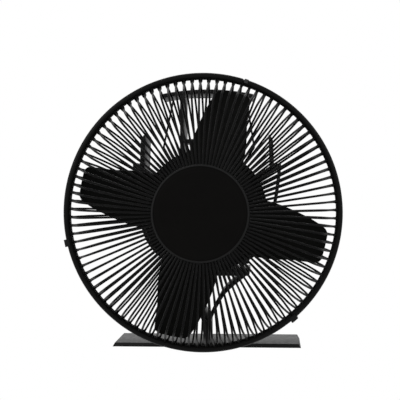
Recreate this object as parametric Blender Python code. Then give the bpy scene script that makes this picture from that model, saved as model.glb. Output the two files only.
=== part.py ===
"""Stove fan in a round wire cage, driven by the heat of the stove that it stands on.

Metres, +Z up. The origin is the centre of the base's underside, and the cage faces -Y. The hot body
stands on the stove, the thermoelectric module lies on its platform, and the cold body is clamped on top.
The motor sits in the hub of the cold body and turns four pressed blades inside the cage.
"""
from math import asin, atan2, cos, degrees, pi, radians, sin, sqrt, tan

import bmesh
import bpy
from mathutils import Matrix, Vector

# Clearances
CLEARANCE = 0.0003
CUT_OVERRUN = 0.002

# Hot body: base, stem, two curved arms and the platform, one extrusion
BASE_WIDTH = 0.1366
BASE_DEPTH = 0.057
BASE_THICKNESS = 0.0029
BASE_EDGE_SLOPE = 0.0017
STEM_WIDTH = 0.0038
STEM_RISE = 0.0128
ARM_RISE = 0.0384
ARM_THICKNESS = 0.0028
ARM_TIP_DROP = 0.0021
PLATFORM_THICKNESS = 0.0044
PLATFORM_MARGIN = 0.0007

# Thermoelectric module and its heat-conducting pads
MODULE_SIZE = 0.040
PAD_THICKNESS = 0.00025
CERAMIC_THICKNESS = 0.0005
ELEMENT_HEIGHT = 0.0009
SOLDER_THICKNESS = 0.0003
SEAL_WIDTH = 0.0015

# Clamp between the two bodies
CLAMP_MARGIN = 0.0055
CLAMP_EDGE = 0.0048
SCREW_RADIUS = 0.0015
SCREW_HEAD_RADIUS = 0.00275
SCREW_HEAD_HEIGHT = 0.0024
SCREW_SOCKET_RADIUS = 0.00125
SCREW_SOCKET_DEPTH = 0.0013
WASHER_RADIUS = 0.0034
INSULATOR_THICKNESS = 0.0008
SPRING_WASHER_THICKNESS = 0.0007
SPRING_WASHER_DISH = 0.0004

# Cold body: one finned extrusion
COLD_SETBACK = 0.0022
COLD_DEPTH = 0.043
COLD_HALF_WIDTH = 0.0538
COLD_PLATE_THICKNESS = 0.0053
AXIS_ABOVE_PLATE = 0.0371
CORNER_RISE = 0.0353
FIN_THICKNESS = 0.0024
DIAGONAL_THICKNESS = 0.004
HUB_WALL = 0.0037
HUB_FIN_REACH = 0.041
BOSS_CIRCLE_RADIUS = 0.030
BOSS_RADIUS = 0.0036
SPOKE_THICKNESS = 0.0035
UPPER_FIN_RISE = 0.0209
UPPER_FIN_CHAMFER = 0.0042
VERTICAL_FIN_X = 0.0181
VERTICAL_FIN_THICKNESS = 0.0026
TOP_BAR_RISE = 0.0891
TOP_BAR_HALF_WIDTH = 0.0334
TOP_BAR_CROWN = 0.0034
TOP_BAR_THICKNESS = 0.0023
SECOND_BAR_RISE = 0.0517
SECOND_BAR_THICKNESS = 0.003

# Cage
CAGE_REACH = 0.0568
CAGE_RISE = 0.0012
CAGE_RADIUS = 0.095
RING_WIRE = 0.0045
BAR_WIRE = 0.0011
BAR_COUNT = 100
FRONT_BOW = 0.0243
REAR_BOW = 0.0284
FRONT_DISC_RADIUS = 0.0326
FRONT_DISC_THICKNESS = 0.0013
BAR_OVERLAP = 0.0045
REAR_PLATE_RADIUS = 0.044
REAR_PLATE_THICKNESS = 0.0012
SHAFT_OPENING_RADIUS = 0.006
CLIP_WIDTH = 0.005
CLIP_THICKNESS = 0.0011
CLIP_GRIP = 0.0028
LATCH_WIDTH = 0.0048
LATCH_THICKNESS = 0.0005
RING_SEAM = 0.0011
STANDOFF_RADIUS = 0.003
STANDOFF_THREAD_DEPTH = 0.0065
STANDOFF_STUD_LENGTH = 0.006
GUARD_SCREW_HEAD_HEIGHT = 0.0017
GUARD_SCREW_REACH = 0.005

# Motor
MOTOR_RADIUS = 0.016
MOTOR_LENGTH = 0.028
MOTOR_SETBACK = 0.008
MOTOR_WALL = 0.0008
MOTOR_BOSS_RADIUS = 0.0046
MOTOR_BOSS_LENGTH = 0.0025
END_CAP_THICKNESS = 0.002
SHAFT_RADIUS = 0.0015
BUSH_RADIUS = 0.0035
BUSH_LENGTH = 0.0045
MAGNET_THICKNESS = 0.0025
MAGNET_LENGTH = 0.016
CORE_LENGTH = 0.011
CORE_HUB_RADIUS = 0.0042
POLE_WIDTH = 0.004
POLE_SHOE_THICKNESS = 0.0022
COIL_THICKNESS = 0.0019
COMMUTATOR_RADIUS = 0.0034
COMMUTATOR_LENGTH = 0.004
BRUSH_SIZE = 0.0014
BRUSH_LEAF = 0.0004
TERMINAL_X = 0.009
TERMINAL_WIDTH = 0.0028
TERMINAL_THICKNESS = 0.0008
TERMINAL_REACH = 0.0045
SET_SCREW_LENGTH = 0.004
LEAD_DIAMETER = 0.0012

# Rotor
BLADE_TIP_GAP = 0.0037
BLADE_SETBACK = 0.005
BLADE_SHEET = 0.0009
BLADE_CAMBER = 0.0015
BLADE_HUB_FLANGE_RADIUS = 0.013
BLADE_HUB_FLANGE_THICKNESS = 0.002
BLADE_HUB_RADIUS = 0.006
BLADE_HUB_LENGTH = 0.012
SPIGOT_RADIUS = 0.004
SPIGOT_REACH = 0.001
ROOT_MARGIN = 0.002
RIVET_RADIUS = 0.001
RIVET_HEAD_RADIUS = 0.0018
RIVET_HEAD_HEIGHT = 0.0008
GRUB_SCREW_LENGTH = 0.0035

# Carry handle
HANDLE_WIRE = 0.0014
HANDLE_LENGTH = 0.0631
HANDLE_PIVOT_RISE = 0.0282
HANDLE_WAIST_RISE = 0.0214
HANDLE_WAIST_X = 0.0339
HANDLE_SHOULDER_X = 0.0275
HANDLE_FOOT_OUT = 0.0022
HANDLE_PIN_PROUD = 0.001
HANDLE_BEND = 0.003

# Angles in degrees, counts of facets and shares of the sizes above
ELEMENTS_PER_SIDE = 5
ELEMENT_WIDTH_SHARE = 0.6
BAR_PHASE = 1.75
LEFT_CLIP_ANGLE = 192.7
RIGHT_CLIP_ANGLE = 311.0
LATCH_ANGLE = 71.6
SEAM_ANGLE = 72.7
SPOKE_ANGLE = -62.0
HUB_FIN_ANGLES = (8.0, -12.0, -32.0)
BLADE_COUNT = 4
BLADE_LEAN = -13.5
BLADE_ROOT_PITCH = 28.0
BLADE_TIP_PITCH = 20.0
RIVET_COUNT = 4
MAGNET_HALF_ANGLE = 62.0
POLE_COUNT = 3
POLE_HALF_ANGLE = 48.0
SMOOTH_ANGLE = 35.0
LARGE_STEPS = 48
MOTOR_STEPS = 24
HUB_STEPS = 16
SMALL_STEPS = 12
ARC_STEPS = 8

# Outer face of an arm, as shares of its reach and its rise
ARM_SHARES = (
    (0.0, 0.0), (0.12, 0.214), (0.28, 0.448), (0.39, 0.578), (0.505, 0.675),
    (0.633, 0.76), (0.79, 0.857), (0.92, 0.94), (1.0, 1.0),
)
# Outer face of an outer fin: share of the width outside the plate, and of the height below or above the axis
LOWER_FIN_SHARES = ((0.0, -0.973), (0.336, -0.817), (0.585, -0.6), (0.726, -0.375), (0.811, -0.12))
HIGHER_FIN_SHARES = ((0.865, 0.16), (0.919, 0.394), (0.954, 0.589), (0.988, 0.813), (1.0, 1.0))
DIAGONAL_END_SHARES = (0.967, 0.969)
UPPER_FIN_SHARE = 0.892
UPPER_FIN_LEAN_SHARE = 0.017
# Flat of the ring wire's six-sided section, where the bars are welded, as a share of its half width
RING_FLAT_SHARE = 0.3
# A cage bar from rim to hub: share of the bar circle's radius and share of the bow
FRONT_BAR_SHARES = ((0.951, 0.7), (0.881, 0.979))
REAR_BAR_SHARES = ((0.95, 0.47), (0.845, 0.83))
# A blade from root to tip: share of the radius, half angles to its two edges, share of the full twist
BLADE_STATION_SHARES = (
    (0.256, 38.5, 38.5, 0.5), (0.349, 34.5, 34.5, 1.0), (0.442, 29.5, 29.8, 1.0), (0.523, 24.8, 25.3, 1.0),
    (0.622, 20.0, 20.5, 1.0), (0.698, 16.5, 17.1, 1.0), (0.779, 13.3, 14.0, 1.0), (0.86, 11.4, 11.2, 1.0),
    (0.93, 10.0, 8.8, 1.0), (0.977, 9.0, 7.0, 1.0), (1.0, 6.8, 4.8, 1.0),
)
BLADE_ROOT_HALF_ANGLE = 40.0
BLADE_CHORD_STEPS = 4

# Routes of the two leads from the module's rear edge to the motor's terminals, on the right-hand side
LEAD_ROUTE = (
    (0.0120, 0.0155, 0.0583), (0.0120, 0.0180, 0.0584), (0.0118, 0.0197, 0.0604), (0.0112, 0.0203, 0.0680),
    (0.0104, 0.0202, 0.0780), (0.0097, 0.0190, 0.0870), (0.0093, 0.0158, 0.0932), (0.0090, 0.0105, 0.0966),
    (0.0090, 0.0040, 0.0974), (0.0090, -0.0030, 0.0975), (0.0090, -0.0070, 0.0975),
)

# Heights that follow from the stack of pieces
base_top = BASE_THICKNESS
stem_top = base_top + STEM_RISE
platform_top = stem_top + ARM_RISE + ARM_TIP_DROP
hot_pad_low = platform_top + CLEARANCE
hot_plate_low = hot_pad_low + PAD_THICKNESS + CLEARANCE
element_low = hot_plate_low + CERAMIC_THICKNESS + CLEARANCE
cold_ceramic_low = element_low + ELEMENT_HEIGHT + CLEARANCE
cold_pad_low = cold_ceramic_low + CERAMIC_THICKNESS + CLEARANCE
plate_low = cold_pad_low + PAD_THICKNESS + CLEARANCE
plate_top = plate_low + COLD_PLATE_THICKNESS
axis_height = plate_low + AXIS_ABOVE_PLATE
cage_height = axis_height + CAGE_RISE

# Widths that follow from the module and its clamp
clamp_x = MODULE_SIZE / 2 + CLAMP_MARGIN
plate_half_width = clamp_x + CLAMP_EDGE
platform_half_width = plate_half_width + PLATFORM_MARGIN
screw_hole_radius = SCREW_RADIUS + CLEARANCE

# Places along Y
base_front = -BASE_DEPTH / 2
base_back = BASE_DEPTH / 2
cold_front = base_front + COLD_SETBACK
cold_back = cold_front + COLD_DEPTH
cold_middle = (cold_front + cold_back) / 2
cage_front = base_front - CAGE_REACH
front_ring_y = cage_front + RING_WIRE / 2
rear_ring_y = front_ring_y + RING_WIRE + CLEARANCE
bar_side = BAR_WIRE * sqrt(pi) / 2
front_bar_y = front_ring_y - FRONT_BOW
rear_bar_y = rear_ring_y + REAR_BOW
disc_back = front_bar_y - bar_side / 2 - CLEARANCE
rear_plate_front = rear_bar_y + bar_side / 2 + CLEARANCE
rear_plate_back = rear_plate_front + REAR_PLATE_THICKNESS
motor_front = rear_plate_back + MOTOR_SETBACK
motor_back = motor_front + MOTOR_LENGTH
blade_plane = cage_front + BLADE_SETBACK
hub_bore_radius = MOTOR_RADIUS + CLEARANCE
hub_radius = hub_bore_radius + HUB_WALL
shaft_hole_radius = SHAFT_RADIUS + CLEARANCE

# Places round the cage
ring_radius = CAGE_RADIUS - RING_WIRE / 2
bar_rim_radius = ring_radius - RING_WIRE / 2 - CLEARANCE - bar_side / 2
blade_radius = bar_rim_radius - BLADE_TIP_GAP

# The two axes about which pieces move
ROTOR_ORIGIN = (0.0, 0.0, axis_height)
HANDLE_ORIGIN = (0.0, cold_middle, axis_height + HANDLE_PIVOT_RISE)
X_AXIS = (1.0, 0.0, 0.0)
Y_AXIS = (0.0, 1.0, 0.0)
Z_AXIS = (0.0, 0.0, 1.0)
# Carries an outline's own x, y and depth to X, Z and Y
ALONG_Y = Matrix(((1, 0, 0, 0), (0, 0, 1, 0), (0, 1, 0, 0), (0, 0, 0, 1)))


# Tools for making pieces

def clear_scene():
    """Remove the objects that are in the scene."""
    for old in list(bpy.data.objects):
        bpy.data.objects.remove(old, do_unlink=True)


def make_finish(name, colour, roughness, metallic):
    """Make a Principled material."""
    finish = bpy.data.materials.new(name)
    finish.use_nodes = True
    shader = finish.node_tree.nodes["Principled BSDF"]
    shader.inputs["Base Color"].default_value = (*colour, 1.0)
    shader.inputs["Roughness"].default_value = roughness
    shader.inputs["Metallic"].default_value = metallic
    finish.diffuse_color = (*colour, 1.0)
    return finish


def make_piece(name, bm, finish, parent=None, location=(0.0, 0.0, 0.0), smooth=False):
    """Turn a bmesh into one named object."""
    bmesh.ops.recalc_face_normals(bm, faces=bm.faces)
    if bm.calc_volume(signed=True) < 0:
        bmesh.ops.reverse_faces(bm, faces=bm.faces)
    mesh = bpy.data.meshes.new(name)
    bm.to_mesh(mesh)
    bm.free()
    if smooth:
        mesh.shade_smooth()
        mesh.set_sharp_from_angle(angle=radians(SMOOTH_ANGLE))
    if finish:
        mesh.materials.append(finish)
    piece = bpy.data.objects.new(name, mesh)
    piece.location = location
    piece.parent = parent
    bpy.context.scene.collection.objects.link(piece)
    return piece


def make_guide(name, bm, group, parent=None, location=(0.0, 0.0, 0.0)):
    """Turn a bmesh into a hidden shape that a Boolean adds to a piece or cuts from it."""
    guide = make_piece(name, bm, None, parent, location)
    guide.hide_render = True
    guide.display_type = "WIRE"
    group.objects.link(guide)
    return guide


def make_group(name):
    """Make a collection for the hidden shapes of one Boolean."""
    group = bpy.data.collections.new(name)
    bpy.context.scene.collection.children.link(group)
    return group


def combine(piece, group, operation):
    """Add a group of hidden shapes to a piece, or cut it away."""
    boolean = piece.modifiers.new(group.name, "BOOLEAN")
    boolean.operation = operation
    boolean.solver = "EXACT"
    boolean.operand_type = "COLLECTION"
    boolean.collection = group


def make_axis(name, origin):
    """Make the empty that moving pieces hang from."""
    axis = bpy.data.objects.new(name, None)
    axis.location = origin
    bpy.context.scene.collection.objects.link(axis)
    return axis


def add_prism(bm, outline, low, high, place=ALONG_Y):
    """Add an outline extruded from low to high, placed by a matrix."""
    near = [bm.verts.new(place @ Vector((u, v, low))) for u, v in outline]
    far = [bm.verts.new(place @ Vector((u, v, high))) for u, v in outline]
    bm.faces.new(near)
    bm.faces.new(far)
    for index in range(len(outline)):
        following = (index + 1) % len(outline)
        bm.faces.new((near[index], near[following], far[following], far[index]))


def add_frame(bm, inner, outer, low, high, place):
    """Add a rectangular frame with the half sizes of its hole and its outside, placed by a matrix."""
    rings = []
    for half_u, half_v in (inner, outer):
        for depth in (low, high):
            corners = ((-half_u, -half_v), (half_u, -half_v), (half_u, half_v), (-half_u, half_v))
            rings.append([bm.verts.new(place @ Vector((u, v, depth))) for u, v in corners])
    inner_low, inner_high, outer_low, outer_high = rings
    for first, second in (
        (inner_low, inner_high), (inner_high, outer_high), (outer_high, outer_low), (outer_low, inner_low),
    ):
        for index in range(len(first)):
            following = (index + 1) % len(first)
            bm.faces.new((first[index], first[following], second[following], second[index]))


def add_box(bm, low, high):
    """Add a box between two corners."""
    outline = ((low[0], low[2]), (high[0], low[2]), (high[0], high[2]), (low[0], high[2]))
    add_prism(bm, outline, low[1], high[1])


def add_turned(bm, profile, steps, centre, axis=Y_AXIS):
    """Add a closed profile of (radius, distance along the axis) points, turned about an axis."""
    along = Vector(axis)
    across = along.orthogonal().normalized()
    beside = along.cross(across)
    rings = []
    for radius, distance in profile:
        middle = Vector(centre) + along * distance
        if radius == 0.0:
            rings.append([bm.verts.new(middle)])
            continue
        turns = [2 * pi * step / steps for step in range(steps)]
        spokes = [across * cos(turn) + beside * sin(turn) for turn in turns]
        rings.append([bm.verts.new(middle + spoke * radius) for spoke in spokes])
    for index, ring in enumerate(rings):
        following = rings[(index + 1) % len(rings)]
        if len(ring) == 1 and len(following) == 1:
            continue
        for step in range(steps):
            after = (step + 1) % steps
            corners = (ring[step % len(ring)], ring[after % len(ring)],
                       following[after % len(following)], following[step % len(following)])
            bm.faces.new(list(dict.fromkeys(corners)))


def rod(radius, low, high):
    """Profile of a solid rod."""
    return [(0.0, low), (radius, low), (radius, high), (0.0, high)]


def tube(inner, outer, low, high):
    """Profile of a tube."""
    return [(inner, low), (outer, low), (outer, high), (inner, high)]


def polar(radius, angle):
    """Point at a radius and an angle in degrees."""
    return (radius * cos(radians(angle)), radius * sin(radians(angle)))


def smooth_path(points, steps):
    """Points on a smooth curve through the given ones, with some steps to each span."""
    knots = [Vector(point) for point in points]
    knots = [2 * knots[0] - knots[1]] + knots + [2 * knots[-1] - knots[-2]]
    path = []
    for index in range(1, len(knots) - 2):
        before, start, end, after = knots[index - 1:index + 3]
        for step in range(steps):
            t = step / steps
            path.append(0.5 * (2 * start + (end - before) * t
                               + (2 * before - 5 * start + 4 * end - after) * t ** 2
                               + (3 * start - before - 3 * end + after) * t ** 3))
    return path + [knots[-2]]


def wall_outline(path, left, right):
    """Outline of a wall that follows a path, reaching some way to its left and its right."""
    points = [Vector(point) for point in path]
    left_face = []
    right_face = []
    for index, point in enumerate(points):
        before = points[max(index - 1, 0)]
        after = points[min(index + 1, len(points) - 1)]
        direction = (after - before).normalized()
        normal = Vector((-direction.y, direction.x))
        left_face.append(tuple(point + normal * left))
        right_face.append(tuple(point - normal * right))
    return right_face + left_face[::-1]


def mirrored(outline):
    """The same outline on the other side of the middle plane."""
    return [(-u, v) for u, v in outline]


def raised(outline, height):
    """The same outline at a height."""
    return [(u, v + height) for u, v in outline]


def rectangle(low_u, high_u, low_v, high_v):
    """Outline of a rectangle."""
    return [(low_u, low_v), (high_u, low_v), (high_u, high_v), (low_u, high_v)]


def arc_band(inner, outer, start, end, steps):
    """Outline of a band between two radii and two angles in degrees."""
    turns = [start + (end - start) * step / steps for step in range(steps + 1)]
    return [polar(outer, turn) for turn in turns] + [polar(inner, turn) for turn in reversed(turns)]


def round_corners(points, radius, steps):
    """Replace the inner corners of a path by bends of one radius."""
    knots = [Vector(point) for point in points]
    path = [knots[0]]
    for before, corner, after in zip(knots, knots[1:], knots[2:]):
        inward = (before - corner).normalized()
        outward = (after - corner).normalized()
        half = inward.angle(outward) / 2
        setback = min(radius / tan(half), (before - corner).length / 2, (after - corner).length / 2)
        start = corner + inward * setback
        end = corner + outward * setback
        for step in range(steps + 1):
            t = step / steps
            path.append(start * (1 - t) ** 2 + corner * 2 * t * (1 - t) + end * t ** 2)
    return path + [knots[-1]]


def make_wire(name, points, diameter, resolution, finish, parent=None, location=(0.0, 0.0, 0.0)):
    """Make a round wire along a path as a curve with a bevel and filled caps."""
    curve = bpy.data.curves.new(name, "CURVE")
    curve.dimensions = "3D"
    curve.bevel_depth = diameter / 2
    curve.bevel_resolution = resolution
    curve.use_fill_caps = True
    spline = curve.splines.new("POLY")
    spline.points.add(len(points) - 1)
    for knot, point in zip(spline.points, points):
        knot.co = (*point, 1.0)
    spline.use_smooth = True
    curve.materials.append(finish)
    piece = bpy.data.objects.new(name, curve)
    piece.location = location
    piece.parent = parent
    bpy.context.scene.collection.objects.link(piece)
    return piece


# Hot body

def make_hot_body(finish):
    """Base, stem, two arms and platform, joined into one extrusion, with two threaded holes."""
    half_base = BASE_WIDTH / 2
    half_top = half_base - BASE_EDGE_SLOPE
    half_stem = STEM_WIDTH / 2
    reach = platform_half_width - half_stem
    base = bmesh.new()
    outline = [(-half_base, 0.0), (half_base, 0.0), (half_top, base_top), (-half_top, base_top)]
    add_prism(base, outline, base_front, base_back)
    body = make_piece("hot_body", base, finish)

    webs = make_group("hot_body_webs")
    stem = bmesh.new()
    foot = base_top - BASE_THICKNESS / 2
    add_prism(stem, rectangle(-half_stem, half_stem, foot, stem_top + ARM_THICKNESS), base_front, base_back)
    make_guide("hot_stem", stem, webs)
    face = [(half_stem + across * reach, stem_top + up * ARM_RISE) for across, up in ARM_SHARES]
    arm_outline = wall_outline(smooth_path(face, 2), ARM_THICKNESS, 0.0)
    arm_outline = [(max(u, 0.0), v) for u, v in arm_outline]
    for side, outline in (("right", arm_outline), ("left", mirrored(arm_outline))):
        arm = bmesh.new()
        add_prism(arm, outline, base_front, base_back)
        make_guide("hot_arm_" + side, arm, webs)
    platform = bmesh.new()
    platform_low = platform_top - PLATFORM_THICKNESS
    top = rectangle(-platform_half_width, platform_half_width, platform_low, platform_top)
    add_prism(platform, top, base_front, base_back)
    make_guide("hot_platform", platform, webs)
    combine(body, webs, "UNION")

    holes = make_group("hot_body_holes")
    for side, (x, y) in clamp_places().items():
        hole = bmesh.new()
        profile = rod(screw_hole_radius, platform_low - CUT_OVERRUN, platform_top + CUT_OVERRUN)
        add_turned(hole, profile, SMALL_STEPS, (x, y, 0.0), Z_AXIS)
        make_guide("hot_hole_" + side, hole, holes)
    combine(body, holes, "DIFFERENCE")


def clamp_places():
    """Centres of the two clamp screws by side."""
    return {"left": (-clamp_x, cold_middle), "right": (clamp_x, cold_middle)}


# Thermoelectric module

def make_sheet(name, low, thickness, finish):
    """A square sheet in the module's stack."""
    half = MODULE_SIZE / 2
    bm = bmesh.new()
    add_box(bm, (-half, cold_middle - half, low), (half, cold_middle + half, low + thickness))
    make_piece(name, bm, finish)


def make_module(pad, ceramic, element, seal):
    """Pads, ceramic plates, semiconductor blocks on their solder sheet, and the rubber seal round them."""
    make_sheet("hot_pad", hot_pad_low, PAD_THICKNESS, pad)
    make_sheet("teg_hot_plate", hot_plate_low, CERAMIC_THICKNESS, ceramic)
    make_sheet("teg_cold_plate", cold_ceramic_low, CERAMIC_THICKNESS, ceramic)
    make_sheet("cold_pad", cold_pad_low, PAD_THICKNESS, pad)
    half = MODULE_SIZE / 2
    inner = half - SEAL_WIDTH
    bm = bmesh.new()
    centre = Matrix.Translation((0.0, cold_middle, 0.0))
    add_frame(bm, (inner, inner), (half, half), element_low, element_low + ELEMENT_HEIGHT, centre)
    make_piece("teg_seal", bm, seal)
    field = inner - CLEARANCE
    bm = bmesh.new()
    solder_top = element_low + SOLDER_THICKNESS
    add_box(bm, (-field, cold_middle - field, element_low), (field, cold_middle + field, solder_top))
    solder = make_piece("teg_elements", bm, element)
    blocks = make_group("element_blocks")
    pitch = 2 * field / ELEMENTS_PER_SIDE
    reach = pitch * ELEMENT_WIDTH_SHARE / 2
    for row in range(ELEMENTS_PER_SIDE):
        for column in range(ELEMENTS_PER_SIDE):
            x = pitch * (column + 0.5) - field
            y = cold_middle + pitch * (row + 0.5) - field
            block = bmesh.new()
            low = (x - reach, y - reach, element_low + SOLDER_THICKNESS / 2)
            add_box(block, low, (x + reach, y + reach, element_low + ELEMENT_HEIGHT))
            make_guide("element_%d_%d" % (row, column), block, blocks)
    combine(solder, blocks, "UNION")


# Clamp

def make_clamp(screw_finish, spring_finish, insulator_finish):
    """Two screws with a dished spring washer and an insulating washer under each head."""
    insulator_low = plate_top + CLEARANCE
    spring_low = insulator_low + INSULATOR_THICKNESS + CLEARANCE
    spring_top = spring_low + SPRING_WASHER_THICKNESS
    head_low = spring_top + SPRING_WASHER_DISH + CLEARANCE
    head_top = head_low + SCREW_HEAD_HEIGHT
    shank_low = platform_top - PLATFORM_THICKNESS + CLEARANCE
    socket = (SCREW_SOCKET_RADIUS, head_top - SCREW_SOCKET_DEPTH)
    screw = [
        (0.0, shank_low), (SCREW_RADIUS, shank_low), (SCREW_RADIUS, head_low), (SCREW_HEAD_RADIUS, head_low),
        (SCREW_HEAD_RADIUS, head_top), (SCREW_SOCKET_RADIUS, head_top), socket, (0.0, socket[1]),
    ]
    dished = [
        (screw_hole_radius, spring_low + SPRING_WASHER_DISH), (WASHER_RADIUS, spring_low),
        (WASHER_RADIUS, spring_top), (screw_hole_radius, spring_top + SPRING_WASHER_DISH),
    ]
    flat = tube(screw_hole_radius, WASHER_RADIUS, insulator_low, insulator_low + INSULATOR_THICKNESS)
    for name, profile, finish in (
        ("clamp_screw", screw, screw_finish), ("spring_washer", dished, spring_finish),
        ("insulating_washer", flat, insulator_finish),
    ):
        for side, (x, y) in clamp_places().items():
            bm = bmesh.new()
            add_turned(bm, profile, SMALL_STEPS, (x, y, 0.0), Z_AXIS)
            make_piece(name + "_" + side, bm, finish, smooth=True)


# Cold body

def diagonal_end():
    """Outer end of a diagonal arm, from the fan's axis."""
    return Vector((COLD_HALF_WIDTH * DIAGONAL_END_SHARES[0], CORNER_RISE * DIAGONAL_END_SHARES[1]))


def boss_places():
    """Centres of the four bosses that carry the cage, from the fan's axis, by name."""
    upper = diagonal_end().normalized() * BOSS_CIRCLE_RADIUS
    lower = Vector(polar(BOSS_CIRCLE_RADIUS, SPOKE_ANGLE))
    return {
        "upper_left": (-upper.x, upper.y), "upper_right": (upper.x, upper.y),
        "lower_left": (-lower.x, lower.y), "lower_right": (lower.x, lower.y),
    }


def top_bar_height(x):
    """Height of the arched bar's top above the fan's axis."""
    return TOP_BAR_RISE - TOP_BAR_CROWN * (x / TOP_BAR_HALF_WIDTH) ** 2


def outer_fin_outline():
    """Outline of the right-hand outer fin, from the plate's end up to the corner."""
    inner_x = plate_half_width - FIN_THICKNESS
    width = COLD_HALF_WIDTH - inner_x
    face = [(inner_x + across * width, up * AXIS_ABOVE_PLATE) for across, up in LOWER_FIN_SHARES]
    face += [(inner_x + across * width, up * CORNER_RISE) for across, up in HIGHER_FIN_SHARES]
    return wall_outline(smooth_path(face, 3), FIN_THICKNESS, 0.0)


def upper_fin_outline():
    """Outline of the right-hand upper fin, which stands on the diagonal arm and has a chamfered tip."""
    outer_x = COLD_HALF_WIDTH * UPPER_FIN_SHARE
    lean = COLD_HALF_WIDTH * UPPER_FIN_LEAN_SHARE
    end = diagonal_end()
    foot = (outer_x - FIN_THICKNESS) * end.y / end.x
    tip = CORNER_RISE + UPPER_FIN_RISE
    return [
        (outer_x - FIN_THICKNESS + lean, foot), (outer_x + lean, foot), (outer_x, tip - UPPER_FIN_CHAMFER),
        (outer_x - UPPER_FIN_CHAMFER / 2, tip), (outer_x - FIN_THICKNESS, tip),
    ]


def web_outline(end, thickness):
    """Outline of a straight web from the fan's axis to its end."""
    return wall_outline([(0.0, 0.0), end], thickness / 2, thickness / 2)


def cold_body_outlines():
    """Outlines of the cold body's webs by name, from the fan's axis."""
    fin_inside = VERTICAL_FIN_X - VERTICAL_FIN_THICKNESS / 2
    fin_outside = VERTICAL_FIN_X + VERTICAL_FIN_THICKNESS / 2
    fin_top = top_bar_height(VERTICAL_FIN_X) - TOP_BAR_THICKNESS / 2
    spoke_end = polar(AXIS_ABOVE_PLATE - COLD_PLATE_THICKNESS / 2, SPOKE_ANGLE)
    outlines = {}
    webs = {
        "outer_fin": outer_fin_outline(),
        "upper_fin": upper_fin_outline(),
        "diagonal": web_outline(diagonal_end(), DIAGONAL_THICKNESS),
        "spoke": web_outline(spoke_end, SPOKE_THICKNESS),
        "vertical_fin": rectangle(fin_inside, fin_outside, 0.0, fin_top),
    }
    for index, angle in enumerate(HUB_FIN_ANGLES):
        webs["hub_fin_%d" % index] = web_outline(polar(HUB_FIN_REACH, angle), FIN_THICKNESS)
    for name, outline in webs.items():
        outlines[name + "_right"] = outline
        outlines[name + "_left"] = mirrored(outline)
    places = [TOP_BAR_HALF_WIDTH * (step / ARC_STEPS - 1) for step in range(2 * ARC_STEPS + 1)]
    crown = [(x, top_bar_height(x)) for x in places]
    outlines["top_bar"] = wall_outline(crown, 0.0, TOP_BAR_THICKNESS)
    low = SECOND_BAR_RISE - SECOND_BAR_THICKNESS / 2
    outlines["second_bar"] = rectangle(-VERTICAL_FIN_X, VERTICAL_FIN_X, low, low + SECOND_BAR_THICKNESS)
    return outlines


def make_cold_body(finish):
    """The finned extrusion: webs joined round the hub, then the bore and the screw holes cut."""
    bm = bmesh.new()
    add_box(bm, (-plate_half_width, cold_front, plate_low), (plate_half_width, cold_back, plate_top))
    body = make_piece("cold_body", bm, finish)
    webs = make_group("cold_body_webs")
    for name, outline in cold_body_outlines().items():
        web = bmesh.new()
        add_prism(web, raised(outline, axis_height), cold_front, cold_back)
        make_guide("cold_" + name, web, webs)
    hub = bmesh.new()
    add_turned(hub, rod(hub_radius, cold_front, cold_back), MOTOR_STEPS, ROTOR_ORIGIN)
    make_guide("cold_hub", hub, webs)
    for corner, (x, z) in boss_places().items():
        boss = bmesh.new()
        add_turned(boss, rod(BOSS_RADIUS, cold_front, cold_back), SMALL_STEPS, (x, 0.0, axis_height + z))
        make_guide("cold_boss_" + corner, boss, webs)
    combine(body, webs, "UNION")

    holes = make_group("cold_body_holes")
    front = cold_front - CUT_OVERRUN
    back = cold_back + CUT_OVERRUN
    bore = bmesh.new()
    add_turned(bore, rod(hub_bore_radius, front, back), MOTOR_STEPS, ROTOR_ORIGIN)
    make_guide("motor_bore", bore, holes)
    for corner, (x, z) in boss_places().items():
        hole = bmesh.new()
        profile = rod(screw_hole_radius, front, cold_front + STANDOFF_STUD_LENGTH + CUT_OVERRUN)
        add_turned(hole, profile, SMALL_STEPS, (x, 0.0, axis_height + z))
        make_guide("boss_hole_" + corner, hole, holes)
    for side, (x, y) in clamp_places().items():
        hole = bmesh.new()
        profile = rod(screw_hole_radius, plate_low - CUT_OVERRUN, plate_top + CUT_OVERRUN)
        add_turned(hole, profile, SMALL_STEPS, (x, y, 0.0), Z_AXIS)
        make_guide("clamp_hole_" + side, hole, holes)
    pivot = bmesh.new()
    reach = VERTICAL_FIN_X + VERTICAL_FIN_THICKNESS
    add_turned(pivot, rod(HANDLE_WIRE / 2 + CLEARANCE, -reach, reach), SMALL_STEPS, HANDLE_ORIGIN, X_AXIS)
    make_guide("pivot_hole", pivot, holes)
    screw = bmesh.new()
    profile = rod(screw_hole_radius, 0.0, hub_radius + CUT_OVERRUN)
    add_turned(screw, profile, SMALL_STEPS, (0.0, set_screw_y(), axis_height), Z_AXIS)
    make_guide("set_screw_hole", screw, holes)
    combine(body, holes, "DIFFERENCE")


def set_screw_y():
    """Place of the motor's set screw, halfway along the part of the can that lies in the hub."""
    return (cold_front + motor_back) / 2


# Motor

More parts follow.
